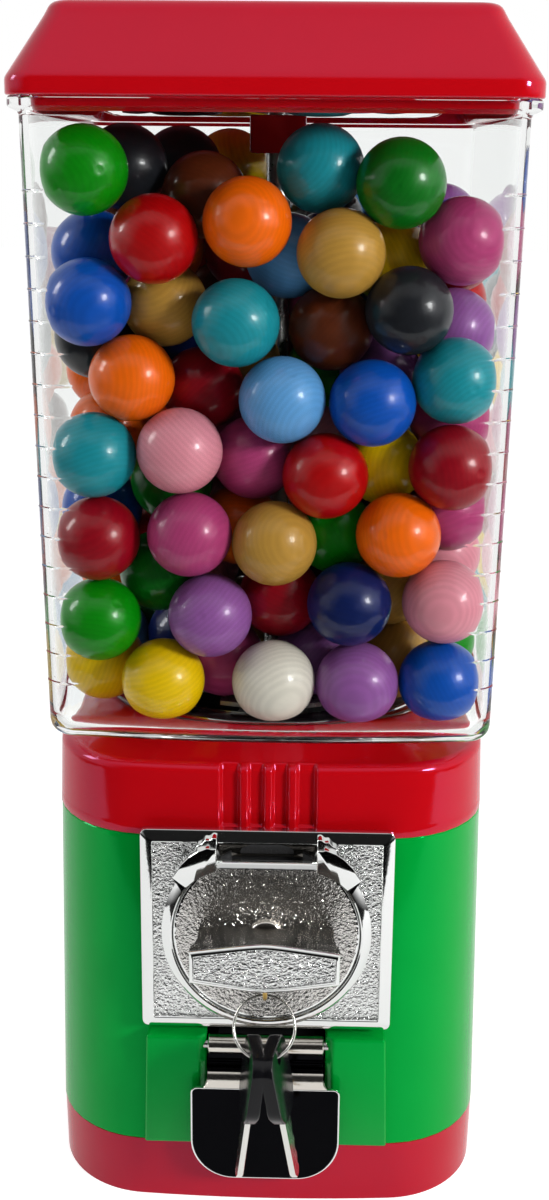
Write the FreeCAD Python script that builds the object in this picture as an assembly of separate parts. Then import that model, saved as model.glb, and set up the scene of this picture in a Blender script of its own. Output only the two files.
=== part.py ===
"""Counter-top gumball machine.

Millimetres.  +Z is up, the front of the machine faces -Y, and the origin is the centre of the
base's underside.  Every physical piece is one node: one STEP file in parts/.
"""
import FreeCAD, Part
import math
import os
import random

V = FreeCAD.Vector
os.makedirs("parts", exist_ok=True)

# ---------------------------------------------------------------- driving dimensions
# Stack of the body, from the table up.
BASE_TOP = 22.0
HOUSING_TOP = 135.0
COLLAR_RIDGE = 159.6
SEAT_TOP = 164.5
CANISTER_BOTTOM = 166.9
CANISTER_TOP = 364.5
LID_BOTTOM = 364.7
LID_TOP = 391.5

SEAT_FOOT_RADIUS = 69.5
SEAT_RADIUS = 62.5
RIB_PITCH = 7.8
RIB_FRONT = -72.8

# Plan of the body: a square with gently bulged sides and round corners.
BASE_HALF = 74.9
HOUSING_HALF_LOW = 75.1
HOUSING_HALF_HIGH = 73.3
COLLAR_HALF_HIGH = 72.9
SIDE_RADIUS = 600.0
CORNER_RADIUS = 33.0
WALL = 2.6

# Clear canister, a square tapered box.
CANISTER_HALF_LOW = 71.2
CANISTER_HALF_HIGH = 74.3
CANISTER_WALL = 2.5
CANISTER_CORNER = 8.0
CANISTER_BOW_LOW = 3.6
CANISTER_BOW_HIGH = 1.1
RIM_HALF = 77.4
RIM_LOW = 359.0
FLOOR_HOLE_RADIUS = 50.0
TICK_PITCH = 9.5
TICK_COUNT = 17

# Lid.
LID_HALF = 78.2
LID_TOP_HALF = 64.5
LID_BAND = 5.0
SKIRT_HALF = 71.2
SKIRT_BOTTOM = 358.8
POST_HALF = 9.3
POST_BOTTOM = 349.8

# Coin mechanism on the front.
MECH_Z = 105.5
PLATE_HALF_X = 41.0
PLATE_LOW = 69.0
PLATE_HIGH = 139.9
PLATE_BACK = -75.8
FIELD_Y = -78.3
CREST_Y = -79.6
FRAME_WIDTH = 4.1
BEZEL_RADIUS = 34.0
BEZEL_Y = -82.0
BEZEL_LIP_Y = -83.6
DIAL_BORE = 30.45
DIAL_RADIUS = 30.1
DIAL_FRONT = -83.0
DIAL_FLAT = 25.3
SLOT_HALF = 16.0
GRIP_FRONT = -104.0
GRIP_HALF_X = 23.3

# Gear train from the handle to the wheel that carries the balls.
SHAFT_RADIUS = 5.0
GEAR_TEETH = 13
GEAR_PITCH_RADIUS = 13.0
IDLER_Z = MECH_Z + 2.0 * GEAR_PITCH_RADIUS
PINION_TEETH = 7
CROWN_TEETH = 42
CROWN_RADIUS = 49.0
PINION_RADIUS = CROWN_RADIUS * PINION_TEETH / CROWN_TEETH
CROWN_PITCH_Z = IDLER_Z + PINION_RADIUS
GEAR_Y0, GEAR_Y1 = -60.5, -54.0
PINION_Y0, PINION_Y1 = -51.5, -46.5
FIT = 0.06

# Ball wheel and what is around it.
WHEEL_RADIUS = 52.0
WHEEL_LOW = CROWN_PITCH_Z + 2.5
WHEEL_HIGH = 158.0
POCKETS = 6
POCKET_RADIUS = 14.3
POCKET_CENTRE = 30.0
DECK_TOP = WHEEL_LOW - 0.4
ROD_RADIUS = 4.0
GUARD_TOP = 171.2

# Door of the delivery chute.
DOOR_PIVOT_Y = -76.5
DOOR_PIVOT_Z = 61.5
DOOR_HALF = 24.9
DOOR_NECK_HALF = 19.2
DOOR_FRONT = -82.2
DOOR_SHEET = 1.2
DOOR_LOW = 13.8
DOOR_SHOULDER = 48.5
MOUTH_HALF = 19.8
CHEEK_FRONT = -80.0
CHEEK_FOOT = -75.2
CHEEK_HALF_LOW = 41.2
CHEEK_HALF_HIGH = 39.6
CHEEK_TOP = 66.0

# Keys.
RING_RADIUS = 9.7
RING_WIRE = 0.7
RING_LEAN = math.radians(31.0)
HOOK_Y = -92.8
HOOK_Z = 90.0

# Balls.
BALL_RADIUS = 13.5
BALL_GAP = 0.06
SEEN_TOP = 345.0
FILL_TOP = 319.0
FILL_TOP_BEHIND = 327.0


# ---------------------------------------------------------------- helpers
def save(shape, node):
    shape.exportStep("parts/%s.step" % node)


def box(x0, x1, y0, y1, z0, z1):
    return Part.makeBox(x1 - x0, y1 - y0, z1 - z0, V(x0, y0, z0))


def rod_x(radius, x0, x1, y, z):
    return Part.makeCylinder(radius, x1 - x0, V(x0, y, z), V(1, 0, 0))


def rod_y(radius, y0, y1, x, z):
    return Part.makeCylinder(radius, y1 - y0, V(x, y0, z), V(0, 1, 0))


def rod_z(radius, z0, z1, x=0.0, y=0.0):
    return Part.makeCylinder(radius, z1 - z0, V(x, y, z0), V(0, 0, 1))


def tube_z(outer, inner, z0, z1, x=0.0, y=0.0):
    return rod_z(outer, z0, z1, x, y).cut(rod_z(inner, z0 - 1, z1 + 1, x, y))


def join(first, others):
    return first.fuse(list(others)).removeSplitter()


def unit(angle):
    return V(math.cos(angle), math.sin(angle), 0)


def bulged_square(half, z, corner=CORNER_RADIUS, side_radius=SIDE_RADIUS):
    """Closed outline: four sides of a very large radius, joined by tangent corner arcs."""
    offset = side_radius - half
    reach = side_radius - corner
    turn = math.acos(offset / (reach * math.sqrt(2))) - math.pi / 4
    lift = V(0, 0, z)
    edges = []
    for side in range(4):
        facing = side * math.pi / 2
        centre = unit(facing) * -offset + lift
        start = centre + unit(facing - turn) * side_radius
        middle = centre + unit(facing) * side_radius
        end = centre + unit(facing + turn) * side_radius
        edges.append(Part.Arc(start, middle, end).toShape())
        corner_centre = centre + unit(facing + turn) * reach
        bend = corner_centre + unit(facing + math.pi / 4) * corner
        after = facing + math.pi / 2
        following = unit(after) * -offset + lift + unit(after - turn) * side_radius
        edges.append(Part.Arc(end, bend, following).toShape())
    return Part.Wire(edges)


def rounded_square(half, z, corner):
    """Closed outline: straight sides with round corners."""
    flat = half - corner
    lift = V(0, 0, z)
    edges = []
    for side in range(4):
        facing = side * math.pi / 2
        along = unit(facing + math.pi / 2)
        start = unit(facing) * half - along * flat + lift
        end = unit(facing) * half + along * flat + lift
        edges.append(Part.LineSegment(start, end).toShape())
        bend = unit(facing) * flat + along * flat + unit(facing + math.pi / 4) * corner + lift
        following = along * half + unit(facing) * flat + lift
        edges.append(Part.Arc(end, bend, following).toShape())
    return Part.Wire(edges)


def loft(wires):
    return Part.makeLoft(wires, True, True)


def ring_of(outline, outer, inner, z0, z1, **options):
    """Flat ring between two copies of an outline."""
    outside = loft([outline(outer, z0, **options), outline(outer, z1, **options)])
    inside = loft([outline(inner, z0 - 1, **options), outline(inner, z1 + 1, **options)])
    return outside.cut(inside)


def housing_half(z):
    share = (z - BASE_TOP) / (HOUSING_TOP - BASE_TOP)
    return HOUSING_HALF_LOW + share * (HOUSING_HALF_HIGH - HOUSING_HALF_LOW)


def canister_share(z):
    low = CANISTER_BOTTOM + 5.0
    return (z - low) / (360.0 - low)


def canister_half(z):
    """Half width at the corners; the sides bow out beyond it."""
    return CANISTER_HALF_LOW + canister_share(z) * (CANISTER_HALF_HIGH - CANISTER_HALF_LOW)


def canister_bow(z):
    return CANISTER_BOW_LOW + canister_share(z) * (CANISTER_BOW_HIGH - CANISTER_BOW_LOW)


def canister_section(z, shrink=0.0, inward=0.0, grow=0.0):
    """Plan of the canister at a height, smaller by shrink, or moved inwards by a wall's thickness."""
    corner = CANISTER_CORNER - shrink * 0.6
    half = canister_half(z) - shrink + grow
    bow = canister_bow(z)
    side_radius = (half - corner) ** 2 / (2 * bow)
    return bulged_square(half + bow - inward, z, corner - inward, side_radius - inward)


def prism_x(points, x0, x1):
    """A (y, z) outline pulled along X."""
    wire = Part.makePolygon([V(x0, y, z) for y, z in points + points[:1]])
    return Part.Face(wire).extrude(V(x1 - x0, 0, 0))


def prism_y(points, y0, y1):
    """An (x, z) outline pulled along Y."""
    wire = Part.makePolygon([V(x, y0, z) for x, z in points + points[:1]])
    return Part.Face(wire).extrude(V(0, y1 - y0, 0))


def prism_z(points, z0, z1):
    """An (x, y) outline pulled along Z."""
    wire = Part.makePolygon([V(x, y, z0) for x, y in points + points[:1]])
    return Part.Face(wire).extrude(V(0, 0, z1 - z0))


def turned(profile, centre, axis):
    """A (radius, position along the axis) outline turned round an axis through centre."""
    side = V(1, 0, 0)
    points = [centre + side * r + axis * t for r, t in profile + profile[:1]]
    return Part.Face(Part.makePolygon(points)).revolve(centre, axis, 360)


def spur_gear(teeth, pitch_radius, y0, y1, z, bore, first_angle, addendum, dedendum, play):
    """Straight-flanked spur gear with its axis along Y."""
    root = pitch_radius - dedendum
    tip = pitch_radius + addendum
    pitch = 2 * math.pi * pitch_radius / teeth
    widths = [(root, pitch * 0.5 + dedendum * 0.62 - play), (tip, pitch * 0.5 - addendum * 0.8 - play)]
    body = rod_y(root + 0.05, y0, y1, 0, z)
    solids = []
    for index in range(teeth):
        angle = first_angle + 2 * math.pi * index / teeth
        outward = V(math.sin(angle), 0, math.cos(angle))
        across = V(math.cos(angle), 0, -math.sin(angle))
        base = V(0, y0, z)
        (r0, w0), (r1, w1) = widths
        inner = r0 - 1.0
        corners = [base + outward * inner - across * (w0 / 2), base + outward * r0 - across * (w0 / 2),
                   base + outward * r1 - across * (w1 / 2), base + outward * r1 + across * (w1 / 2),
                   base + outward * r0 + across * (w0 / 2), base + outward * inner + across * (w0 / 2)]
        face = Part.Face(Part.makePolygon(corners + corners[:1]))
        solids.append(face.extrude(V(0, y1 - y0, 0)))
    gear = join(body, solids)
    return gear.cut(rod_y(bore, y0 - 1, y1 + 1, 0, z))


def screw_z(x, y, z0, z1, shank, head, head_height):
    """Screw standing up: the head's underside is at z0 + head_height."""
    return join(rod_z(head, z0, z0 + head_height, x, y), [rod_z(shank, z0 + head_height, z1, x, y)])


# ---------------------------------------------------------------- body
STAND_HOLE_RADIUS = 2.75
STAND_SPACING = 90.0
CORNER_SCREW = 55.0


def base_pan():
    outside = loft([bulged_square(BASE_HALF - 0.4, 0), bulged_square(BASE_HALF, BASE_TOP)])
    inside = loft([bulged_square(BASE_HALF - WALL - 0.4, 3.0, CORNER_RADIUS - WALL),
                   bulged_square(BASE_HALF - WALL, BASE_TOP + 1, CORNER_RADIUS - WALL)])
    pan = outside.cut(inside)
    lip = ring_of(bulged_square, BASE_HALF - WALL - 0.4, BASE_HALF - WALL - 2.6, 12.0, BASE_TOP + 4.0,
                  corner=CORNER_RADIUS - WALL)
    web = ring_of(bulged_square, BASE_HALF - WALL + 0.3, BASE_HALF - WALL - 2.6, 12.0, BASE_TOP - 4.0,
                  corner=CORNER_RADIUS - WALL)
    pillars = [rod_z(5.5, 2.0, BASE_TOP, sx * CORNER_SCREW, sy * CORNER_SCREW)
               for sx in (-1, 1) for sy in (-1, 1)]
    pan = join(pan, [lip, web, rod_z(12.0, 2.0, 10.0)] + pillars)
    behind_mouth = box(-43.0, 43.0, -80.0, -60.0, BASE_TOP, BASE_TOP + 6.0)
    holes = [behind_mouth, rod_z(ROD_RADIUS + 0.15, -1, 12), rod_z(9.0, -1, 5.0)]
    for sx in (-1, 1):
        for sy in (-1, 1):
            x, y = sx * CORNER_SCREW, sy * CORNER_SCREW
            holes.append(rod_z(1.7, -1, BASE_TOP + 1, x, y))
            holes.append(rod_z(3.9, -1, 2.8, x, y))
            holes.append(rod_z(STAND_HOLE_RADIUS, -1, 4.0, sx * STAND_SPACING / 2, sy * 20.0))
    return pan.cut(holes)


def base_screws():
    return Part.makeCompound([screw_z(sx * CORNER_SCREW, sy * CORNER_SCREW, 0.8, 36.0, 1.5, 3.5, 2.0)
                              for sx in (-1, 1) for sy in (-1, 1)])


def cheek(side):
    """Block beside the delivery mouth; its face leans back until it meets the base."""
    back, bevel = -66.0, 2.5
    outlines = []
    for z, front, outer in ((BASE_TOP, CHEEK_FOOT, CHEEK_HALF_LOW),
                            (CHEEK_TOP, CHEEK_FRONT, CHEEK_HALF_HIGH)):
        plan = [(MOUTH_HALF, back), (MOUTH_HALF, front + bevel), (MOUTH_HALF + bevel, front),
                (outer, front), (outer, back)]
        corners = [V(side * x, y, z) for x, y in plan]
        outlines.append(Part.makePolygon(corners + corners[:1]))
    return loft(outlines)


def housing():
    outside = loft([bulged_square(HOUSING_HALF_LOW, BASE_TOP),
                    bulged_square(HOUSING_HALF_HIGH, HOUSING_TOP)])
    inner_corner = CORNER_RADIUS - WALL
    inside = loft([bulged_square(HOUSING_HALF_LOW - WALL, BASE_TOP - 1, inner_corner),
                   bulged_square(HOUSING_HALF_HIGH - WALL, HOUSING_TOP + 1, inner_corner)])
    shell = outside.cut(inside)
    ledge = ring_of(bulged_square, housing_half(129) - WALL + 0.4, housing_half(129) - 8.0, 127.0, 131.0,
                    corner=inner_corner)
    pad = box(-38.5, 38.5, PLATE_BACK, -70.0, 67.0, HOUSING_TOP)
    bosses = [rod_z(4.6, BASE_TOP + 0.2, 129.0, sx * CORNER_SCREW, sy * CORNER_SCREW)
              for sx in (-1, 1) for sy in (-1, 1)]
    shell = join(shell, [ledge, pad, cheek(-1), cheek(1)] + bosses)
    holes = [box(-33, 33, -90, -60, 73.0, 132.5),
             box(-MOUTH_HALF, MOUTH_HALF, -90, -60, 24.0, CHEEK_TOP + 0.6),
             box(-7.6, 7.6, -90, -60, 130.0, HOUSING_TOP + 2),
             rod_x(1.55, -24.0, 24.0, DOOR_PIVOT_Y, DOOR_PIVOT_Z)]
    holes += [rod_z(1.55, BASE_TOP - 1, 60.0, sx * CORNER_SCREW, sy * CORNER_SCREW)
              for sx in (-1, 1) for sy in (-1, 1)]
    return shell.cut(holes)


def collar():
    """Red collar: straight wall, rounded shoulder, and a shallow cone up to the round seat."""
    shoulder = COLLAR_RIDGE - 3.2
    outside = loft([bulged_square(HOUSING_HALF_HIGH + 0.2, HOUSING_TOP),
                    bulged_square(COLLAR_HALF_HIGH, shoulder),
                    bulged_square(COLLAR_HALF_HIGH - 0.7, shoulder + 1.9),
                    bulged_square(COLLAR_HALF_HIGH - 2.8, COLLAR_RIDGE)])
    cone_foot = COLLAR_RIDGE - 0.6
    cone = Part.makeCone(SEAT_FOOT_RADIUS, SEAT_RADIUS, SEAT_TOP - cone_foot, V(0, 0, cone_foot))
    inside = loft([bulged_square(HOUSING_HALF_HIGH - WALL, HOUSING_TOP - 1, CORNER_RADIUS - WALL),
                   bulged_square(COLLAR_HALF_HIGH - WALL - 0.6, shoulder, CORNER_RADIUS - WALL)])
    ribs = [prism_z([(x - 2.2, -70.0), (x - 1.2, RIB_FRONT), (x + 1.2, RIB_FRONT), (x + 2.2, -70.0)],
                    HOUSING_TOP + 5.5, COLLAR_RIDGE - 1.6) for x in (-RIB_PITCH, 0.0, RIB_PITCH)]
    panel = box(-RIB_PITCH * 2, RIB_PITCH * 2, -90.0, RIB_FRONT + 1.7, HOUSING_TOP + 4.8, COLLAR_RIDGE + 2)
    shell = join(outside.cut(panel), [cone] + ribs)
    return shell.cut([inside, rod_z(57.3, 150.0, SEAT_TOP + 1)])


def wheel_housing():
    """Black floor of the collar: wall round the ball wheel and the raised deck under it."""
    floor = loft([bulged_square(HOUSING_HALF_HIGH - WALL - 0.5, 131.0, CORNER_RADIUS - WALL - 0.5),
                  bulged_square(HOUSING_HALF_HIGH - WALL - 0.5, 134.0, CORNER_RADIUS - WALL - 0.5)])
    wall = tube_z(56.6, 53.6, 133.0, 166.4)
    deck = rod_z(44.6, 133.0, DECK_TOP)
    hollow = rod_z(42.0, 130.0, DECK_TOP - 2.2)
    hub = rod_z(8.0, 131.0, DECK_TOP - 1.0)
    body = join(floor.fuse([wall, deck]).cut(hollow), [hub])
    drop = box(-15.2, 15.2, -44.9, -15.5, 129.0, DECK_TOP + 1)
    gear_window = box(-16.0, 16.0, -75.0, -44.2, 129.0, 147.6)
    return body.cut([drop, gear_window, rod_z(ROD_RADIUS + 0.12, 129.0, 150.0)])


def ball_guard():
    """Cap over the pocket that is being emptied, so one ball drops at a time."""
    sector = [(-17.0, -53.0), (17.0, -53.0), (17.0, -16.0), (9.0, -5.0), (9.0, 9.0), (-9.0, 9.0),
              (-9.0, -5.0), (-17.0, -16.0)]
    plate = prism_z(sector, GUARD_TOP - 1.5, GUARD_TOP).common(rod_z(FLOOR_HOLE_RADIUS - 3, 160.0, 180.0))
    sleeve = rod_z(8.0, WHEEL_HIGH + 0.6, GUARD_TOP)
    return join(plate, [sleeve]).cut(rod_z(ROD_RADIUS + 0.02, 150.0, 180.0))


def rod_washer():
    return tube_z(11.0, ROD_RADIUS + 0.1, GUARD_TOP, GUARD_TOP + 1.3)


def canister():
    edge = CANISTER_BOTTOM
    wall = CANISTER_WALL
    outside = loft([canister_section(edge, shrink=4.6), canister_section(edge + 1.3, shrink=1.6),
                    canister_section(edge + 5.0), canister_section(RIM_LOW + 2.0)])
    rim = loft([rounded_square(CANISTER_HALF_HIGH - 0.6, RIM_LOW, CANISTER_CORNER),
                rounded_square(RIM_HALF, RIM_LOW + 2.3, 10.0),
                rounded_square(RIM_HALF, CANISTER_TOP, 10.0)])
    inside = loft([canister_section(edge + wall, shrink=2.6, inward=wall),
                   canister_section(edge + wall + 4.0, inward=wall),
                   canister_section(CANISTER_TOP + 1, inward=wall)])
    foot = tube_z(62.0, 59.0, SEAT_TOP + 0.05, edge + 1.0)
    ticks = []
    for index in range(TICK_COUNT):
        z = 186.0 + index * TICK_PITCH
        reach = canister_half(z) - 5.2
        for side in (-1, 1):
            ticks.append(box(min(side * reach, side * (reach + 5.8)), max(side * reach, side * (reach + 5.8)),
                             -(canister_half(z) + 0.25), -(canister_half(z) - 5.0), z - 0.25, z + 0.25))
    solid = outside.fuse([rim]).cut(inside)
    shape_of_ticks = ticks[0].fuse(ticks[1:]).common(
        loft([canister_section(edge + 5.0, grow=0.3), canister_section(RIM_LOW, grow=0.3)])).cut(inside)
    solid = join(solid, [foot, shape_of_ticks])
    return solid.cut(rod_z(FLOOR_HOLE_RADIUS, 160.0, 172.0))


def centre_rod():
    return rod_z(ROD_RADIUS, 1.0, 356.0)


def rod_nut():
    radius = 13.0 / math.sqrt(3)
    corners = [(radius * math.cos(k * math.pi / 3), radius * math.sin(k * math.pi / 3)) for k in range(6)]
    return prism_z(corners, 1.2, 5.0).cut(rod_z(ROD_RADIUS + 0.02, 0.0, 6.0))


def latch_bracket():
    """Cage on top of the rod; the lock's cam enters through the slot in its roof."""
    cage = box(-6.6, 6.6, -6.6, 6.6, 355.0, 368.6).cut(box(-8.0, 8.0, -5.2, 5.2, 358.0, 366.4))
    slot = box(-5.6, 5.6, -2.1, 2.1, 365.0, 370.0)
    return cage.cut([slot, rod_z(ROD_RADIUS + 0.02, 350.0, 356.05)])


# ---------------------------------------------------------------- delivery
def chute():
    """Square channel: straight down behind the coin mechanism, then forward to the mouth."""
    outer = [(-46.0, 130.6), (-14.4, 130.6), (-14.4, 54.0), (-71.0, 25.4), (-71.0, 60.6), (-46.0, 69.0)]
    inner = [(-44.8, 131.6), (-15.6, 131.6), (-15.6, 54.9), (-72.0, 26.4), (-72.0, 59.0), (-44.8, 67.9)]
    return prism_x(outer, -16.3, 16.3).cut(prism_x(inner, -15.1, 15.1))


def cash_tray():
    """Open tray on the base floor that collects the coins."""
    tray = box(-48.0, 48.0, -46.0, 46.0, 10.3, 23.0)
    return tray.cut([box(-46.4, 46.4, -44.4, 44.4, 11.8, 24.0), rod_z(7.0, 0.0, 15.0)])


def door_hinge_pin():
    return rod_x(1.5, -23.6, 23.6, DOOR_PIVOT_Y, DOOR_PIVOT_Z)


def flap_door():
    """Pressed sheet: rolled knuckle, stepped neck, and the wide flat flap with round lower corners."""
    back = DOOR_FRONT + DOOR_SHEET
    knuckle = rod_x(3.3, -DOOR_NECK_HALF, DOOR_NECK_HALF, DOOR_PIVOT_Y, DOOR_PIVOT_Z)
    neck = [(DOOR_PIVOT_Y - 1.0, 60.0), (DOOR_PIVOT_Y - 2.6, 59.4), (-78.3, 55.4), (-79.4, 53.0),
            (-81.6, 51.0), (DOOR_FRONT, 49.0), (DOOR_FRONT, 46.0), (back, 46.0), (back, 48.6),
            (-80.4, 50.2), (-78.4, 52.2), (-77.1, 55.0), (-76.4, 58.6)]
    curve = prism_x(neck, -DOOR_NECK_HALF, DOOR_NECK_HALF)
    round_low, round_high = 14.5, 2.0
    left, right = -DOOR_HALF, DOOR_HALF
    diagonal = round_low * (1 - math.sqrt(0.5))
    small = round_high * (1 - math.sqrt(0.5))
    y = DOOR_FRONT
    edges = [
        Part.LineSegment(V(left, y, DOOR_SHOULDER - round_high), V(left, y, DOOR_LOW + round_low)),
        Part.Arc(V(left, y, DOOR_LOW + round_low), V(left + diagonal, y, DOOR_LOW + diagonal),
                 V(left + round_low, y, DOOR_LOW)),
        Part.LineSegment(V(left + round_low, y, DOOR_LOW), V(right - round_low, y, DOOR_LOW)),
        Part.Arc(V(right - round_low, y, DOOR_LOW), V(right - diagonal, y, DOOR_LOW + diagonal),
                 V(right, y, DOOR_LOW + round_low)),
        Part.LineSegment(V(right, y, DOOR_LOW + round_low), V(right, y, DOOR_SHOULDER - round_high)),
        Part.Arc(V(right, y, DOOR_SHOULDER - round_high), V(right - small, y, DOOR_SHOULDER - small),
                 V(right - round_high, y, DOOR_SHOULDER)),
        Part.LineSegment(V(right - round_high, y, DOOR_SHOULDER), V(left + round_high, y, DOOR_SHOULDER)),
        Part.Arc(V(left + round_high, y, DOOR_SHOULDER), V(left + small, y, DOOR_SHOULDER - small),
                 V(left, y, DOOR_SHOULDER - round_high)),
    ]
    flap = Part.Face(Part.Wire([edge.toShape() for edge in edges])).extrude(V(0, DOOR_SHEET, 0))
    door = join(knuckle, [curve, flap])
    return door.cut(rod_x(1.5 + FIT, -30.0, 30.0, DOOR_PIVOT_Y, DOOR_PIVOT_Z))


# ---------------------------------------------------------------- coin mechanism, fixed part
MECH_SCREWS = [(sx * 29.5, z) for sx in (-1, 1) for z in (77.0, 129.0)]


def frame_ring(inset, y, grow):
    """Rectangle of the face plate with round corners, shrunk by inset, at depth y."""
    half_x = PLATE_HALF_X - inset
    low, high = PLATE_LOW + inset, PLATE_HIGH - inset
    r = grow
    k = r * (1 - math.sqrt(0.5))
    corners = [(half_x, low, 1, -1), (half_x, high, 1, 1), (-half_x, high, -1, 1), (-half_x, low, -1, -1)]
    points = []
    for index, (x, z, sx, sz) in enumerate(corners):
        on_side = V(x, y, z - sz * r)
        on_end = V(x - sx * r, y, z)
        middle = V(x - sx * k, y, z - sz * k)
        points.append((on_end, middle, on_side) if index % 2 == 0 else (on_side, middle, on_end))
    edges = []
    for index, (start, middle, end) in enumerate(points):
        edges.append(Part.Arc(start, middle, end).toShape())
        edges.append(Part.LineSegment(end, points[(index + 1) % 4][0]).toShape())
    return Part.Wire(edges)


def face_plate():
    """Chromed casting: bevelled frame, sunk field, raised bezel and the coin recess at the top."""
    slab = loft([frame_ring(0.0, PLATE_BACK, 3.0), frame_ring(0.0, CREST_Y + 0.5, 3.0),
                 frame_ring(0.5, CREST_Y, 2.6)])
    sunk = loft([frame_ring(FRAME_WIDTH, FIELD_Y, 1.0), frame_ring(1.0, CREST_Y, 2.2),
                 frame_ring(0.6, CREST_Y - 1.0, 2.4)])
    centre = V(0, 0, MECH_Z)
    axis = V(0, 1, 0)
    bezel = turned([(DIAL_BORE, PLATE_BACK), (BEZEL_RADIUS + 0.2, PLATE_BACK),
                    (BEZEL_RADIUS + 0.2, FIELD_Y), (BEZEL_RADIUS - 0.3, BEZEL_Y),
                    (DIAL_BORE + 0.5, BEZEL_LIP_Y), (DIAL_BORE, BEZEL_LIP_Y + 0.4)],
                   centre, axis)
    plate = slab.cut(sunk)
    mouth = box(-SLOT_HALF, SLOT_HALF, -90.0, FIELD_Y, MECH_Z + 20.0, PLATE_HIGH + 5.0)
    plate = join(plate.cut(rod_y(DIAL_BORE, -90, -70, 0, MECH_Z)), [bezel.cut(mouth)])
    recess = box(-SLOT_HALF + 0.6, SLOT_HALF - 0.6, -90.0, PLATE_BACK - 1.0, MECH_Z + 20.0,
                 PLATE_HIGH - FRAME_WIDTH - 0.4)
    screw_holes = [rod_y(1.6, -77.4, -70.0, x, z) for x, z in MECH_SCREWS]
    return plate.cut([recess] + screw_holes)


def mech_frame():
    """Steel plate behind the face plate, with the bearings of both shafts."""
    plate = box(-32.0, 32.0, -75.6, -73.6, 73.8, 131.8)
    bearing = rod_y(9.0, -74.0, -62.0, 0, MECH_Z)
    riser = box(-7.0, 7.0, -75.6, -69.0, 122.0, HOUSING_TOP - 0.4)
    idler_bearing = rod_y(6.0, -70.0, -62.0, 0, IDLER_Z)
    body = join(plate, [bearing, riser, idler_bearing])
    holes = [rod_y(SHAFT_RADIUS + FIT, -80.0, -60.0, 0, MECH_Z), rod_y(3.0 + FIT, -73.0, -60.0, 0, IDLER_Z)]
    holes += [rod_y(1.8, -80.0, -70.0, x, z) for x, z in MECH_SCREWS]
    return body.cut(holes)


def mech_screws():
    screws = [join(rod_y(3.1, -73.6, -71.4, x, z), [rod_y(1.55, -77.2, -73.6, x, z)]) for x, z in MECH_SCREWS]
    return Part.makeCompound(screws)


# ---------------------------------------------------------------- coin mechanism, turning parts
def dial():
    """Textured disc with one flat, behind which the coin drops into the coin wheel."""
    disc = rod_y(DIAL_RADIUS, DIAL_FRONT, -80.2, 0, MECH_Z)
    hub = rod_y(5.9, DIAL_FRONT - 2.2, DIAL_FRONT + 0.5, 0, MECH_Z)
    above_flat = box(-40, 40, -90, -70, MECH_Z + DIAL_FLAT, MECH_Z + 40)
    lip = box(-16.3, 16.3, DIAL_FRONT - 0.6, -80.2, MECH_Z + DIAL_FLAT - 1.5, MECH_Z + DIAL_FLAT)
    lip = lip.common(rod_y(DIAL_RADIUS, -90, -70, 0, MECH_Z))
    eye = box(-0.9, 0.9, HOOK_Y - 2.3, DIAL_FRONT + 1.0, HOOK_Z + 7.0, MECH_Z)
    eye_drop = box(-0.9, 0.9, HOOK_Y - 2.3, HOOK_Y + 2.3, HOOK_Z, HOOK_Z + 8.0)
    eye_end = rod_x(2.3, -0.9, 0.9, HOOK_Y, HOOK_Z)
    solid = join(disc.cut(above_flat), [hub, lip, eye, eye_drop, eye_end])
    return solid.cut([rod_x(1.35, -2, 2, HOOK_Y, HOOK_Z), handle_core()])


def hexagon_section(half_x, half_end, half_middle, y):
    points = [(-half_x, -half_end), (0.0, -half_middle), (half_x, -half_end),
              (half_x, half_end), (0.0, half_middle), (-half_x, half_end)]
    corners = [V(x, y, MECH_Z + z) for x, z in points]
    return Part.makePolygon(corners + corners[:1])


def handle_core():
    return loft([hexagon_section(21.8, 2.5, 4.0, DIAL_FRONT + 0.6), hexagon_section(21.4, 2.2, 4.4, -93.0),
                 hexagon_section(22.2, 3.3, 6.2, -99.0), hexagon_section(GRIP_HALF_X, 5.2, 8.2, -102.2),
                 hexagon_section(GRIP_HALF_X, 5.2, 8.2, GRIP_FRONT)])


def handle():
    """Fin that widens into a long bow-shaped grip face with a sunk panel."""
    core = handle_core()
    panel = loft([hexagon_section(GRIP_HALF_X - 2.2, 3.5, 6.4, GRIP_FRONT + 0.7),
                  hexagon_section(GRIP_HALF_X - 1.9, 3.8, 6.7, GRIP_FRONT - 0.5)])
    return core.cut(panel)


def coin_wheel():
    """Dark wheel behind the dial with the notch that takes one coin."""
    disc = rod_y(29.9, -80.0, -76.3, 0, MECH_Z)
    notch = rod_y(12.4, -90.0, -78.0, 0, MECH_Z + 17.0)
    mouth = box(-11.4, 11.4, -90.0, -78.0, MECH_Z + 20.0, MECH_Z + 40.0)
    return disc.cut([notch, mouth])


def drive_shaft():
    return rod_y(SHAFT_RADIUS, -76.2, -50.6, 0, MECH_Z).cut(rod_y(2.05, -66.0, -50.0, 0, MECH_Z))


def drive_gear():
    return spur_gear(GEAR_TEETH, GEAR_PITCH_RADIUS, GEAR_Y0, GEAR_Y1, MECH_Z, SHAFT_RADIUS,
                     0.0, 1.5, 2.3, 0.55)


def shaft_clip():
    return rod_y(8.0, -53.6, -52.4, 0, MECH_Z).cut(rod_y(SHAFT_RADIUS, -55, -50, 0, MECH_Z))


def handle_screw():
    return join(rod_y(3.8, -50.4, -48.2, 0, MECH_Z), [rod_y(2.0, -65.5, -50.4, 0, MECH_Z)])


def idler_gear():
    half_tooth = math.pi / GEAR_TEETH
    return spur_gear(GEAR_TEETH, GEAR_PITCH_RADIUS, GEAR_Y0, GEAR_Y1, IDLER_Z, 3.0,
                     math.pi + half_tooth, 1.5, 2.3, 0.55)


def idler_pinion():
    return spur_gear(PINION_TEETH, PINION_RADIUS, PINION_Y0, PINION_Y1, IDLER_Z, 3.0, 0.0, 1.7, 2.6, 0.75)


def idler_shaft():
    return rod_y(3.0, -72.0, PINION_Y1, 0, IDLER_Z)


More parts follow.
